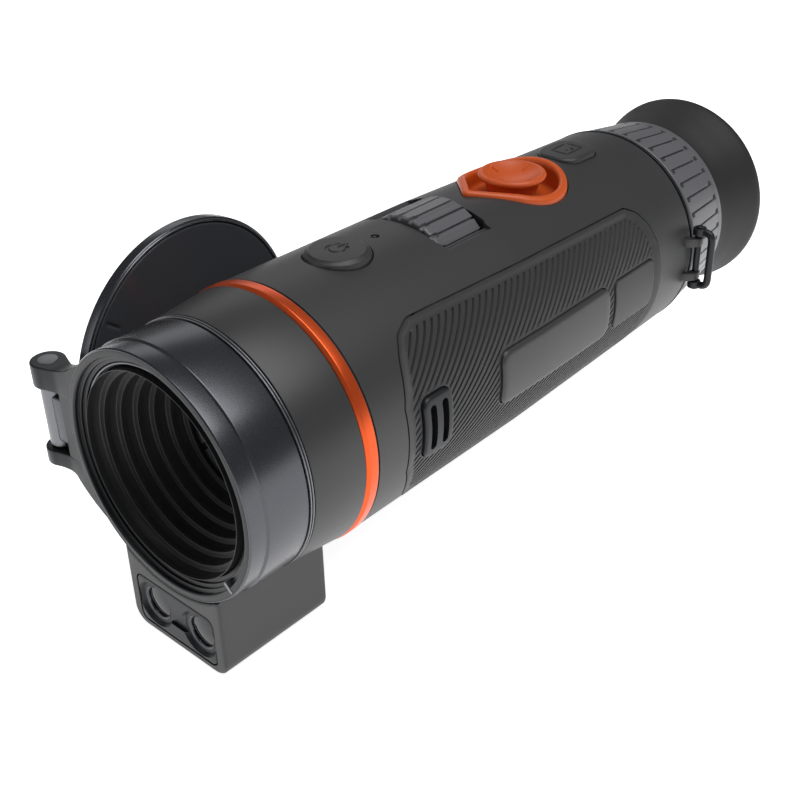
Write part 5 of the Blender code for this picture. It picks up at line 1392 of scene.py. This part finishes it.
# %% Recessed plate, windows and screws
EYE_X, EYE_Z, EYE_R = 8.0, -40.6, 4.7
bezel = piece(
    "range_face", prism(box_outline(13.9, 7.0, 2.2, (0, BEZEL_Z), 12), RANGE_Y0, RANGE_Y0 + 1.7, 0.5, "y"),
    satin_anodised, ["range_bezel"],
)
cup_cut = [
    (0, -1), (EYE_R + 1.5, -1), (EYE_R + 1.5, -0.01), (EYE_R + 0.75, 0.95), (EYE_R, 1.0), (EYE_R, 3), (0, 3)
]
rim_corners = [(EYE_R - 0.05, 1.6), (EYE_R - 0.05, 0.9), (EYE_R - 0.6, 1.2), (EYE_R - 0.75, 1.6)]


def at_both_eyes(profile):
    """The same profile turned about each window's own axis, with distances from the block's front."""
    return [turned(profile, 96, "y", (side * EYE_X, RANGE_Y0, EYE_Z)) for side in (1, -1)]


trough = prism(box_outline(EYE_X, 2.6, 0.3, (0, EYE_Z)), RANGE_Y0 - 1, RANGE_Y0 + 0.8, 0, "y")
cut(bezel, *at_both_eyes(cup_cut), sharp=25)
cut(bezel, trough, sharp=25)
piece("range_window_rims", at_both_eyes(softened(rim_corners, 0.12)), black_anodised, ring=True)
windows = at_both_eyes(domed(EYE_R - 0.3, 1.75, 3.4, 0.5, 0.2))
for name, glass in zip(("range_lens_left", "range_lens_right"), windows[::-1]):
    piece(name + "_window", glass, dark_window, [name])


def hex_socket(radius, distance, angle):
    """The head's middle is sunk 0.6 mm inside a hexagon: radius cos(angle off the nearest flat) < 0.9."""
    off_flat = (angle % (math.pi / 3)) - math.pi / 6
    return 0, np.where((radius * np.cos(off_flat) < 0.9) & (distance < RANGE_Z + 0.5), 0.6, 0)


head_profile = [(r, RANGE_Z + 0.12) for r in (*np.linspace(0, 1.6, 26), 1.75)]
head_profile += [(1.9, RANGE_Z + 0.25), (1.9, RANGE_Z + 1.1), (0, RANGE_Z + 1.1)]
for y, name in SCREWS:
    head = turned(head_profile, 96, "z", (0, y, 0), hex_socket)
    piece(name + "_head", head, brushed_steel, [name])

# %% [markdown]
# ## Tripod pad
# Under the body a flat pad holds a brass insert with a quarter-inch thread. Its thread is a fine
# sawtooth on the radius that climbs one pitch with each turn.

# %% Pad and threaded insert
PAD_Z = -AXIS_Z / MM
pad_outline = spaced(box_outline(9.0, 15.0, 3.0, (0, MID_Y), 12), 160)
tripod_pad = piece("tripod_pad", prism(pad_outline, PAD_Z, -30.2, 0.6, "z"), moulded_nylon)
INSERT_Y, INSERT_R = 106.5, 4.6
ROOM_R = INSERT_R + GAP
insert_room = [(0, PAD_Z - 2), (ROOM_R, PAD_Z - 2), (ROOM_R, -29), (0, -29)]
cut(tripod_pad, turned(insert_room, 96, "z", (0, INSERT_Y, 0)))
THREAD = 1.27


def thread(radius, distance, angle):
    """A triangle wave 0.4 mm high with a pitch of 1.27 mm, moved on by the angle's share of a turn."""
    phase = ((distance - PAD_Z) / THREAD - angle / TURN) % 1
    return (radius < 3.4) * (np.abs(phase - 0.5) * 2 - 0.5) * 0.4, 0


THREAD_R, CHAMFER_R = 3.2, 3.6
insert_profile = [
    (INSERT_R, PAD_Z + 6.0), (INSERT_R, PAD_Z + 0.35), (INSERT_R - 0.2, PAD_Z + 0.2), (CHAMFER_R, PAD_Z + 0.2)
]
insert_profile += [(THREAD_R, PAD_Z + depth) for depth in np.linspace(0.5, 5.8, 60)]
insert_profile += [(CHAMFER_R, PAD_Z + 6.0)]
piece(
    "brass_insert", turned(insert_profile, 96, "z", (0, INSERT_Y, 0), thread), machined_brass,
    ["tripod_insert"], ring=True,
)

# %% [markdown]
# ## Inner parts
# The pieces inside keep the shapes of the CAD and take a finish: the guide and carriage of the focusing
# lens, the sensor, the boards, the battery and the small display that the eyepiece looks at.

# %% Finishes of the CAD pieces that stay
INNER = {
    "focus_carriage": satin_anodised, "focus_lens": germanium_painted_glow,
    "focus_shaft": brushed_steel, "chassis": satin_anodised, "shutter_frame": black_abs,
    "sensor_core": satin_anodised, "main_board": board_laminate, "button_board_front": board_laminate,
    "button_board_rear": board_laminate, "battery_cell": shrink_wrap, "battery_cradle": black_abs,
    "display_holder": black_abs, "display": polished_acrylic, "range_module": black_abs,
    "joystick_gimbal": satin_anodised, "joystick_yoke": satin_anodised, "joystick_base": black_abs,
    "port_socket": brushed_steel,
}
for node, finish in INNER.items():
    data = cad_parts[node].data
    data.materials.clear()
    data.materials.append(finish)
left_over = [n for n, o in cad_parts.items() if not o.hide_render and n not in INNER]
print("CAD pieces with a finish:", len(INNER), "left over:", left_over)
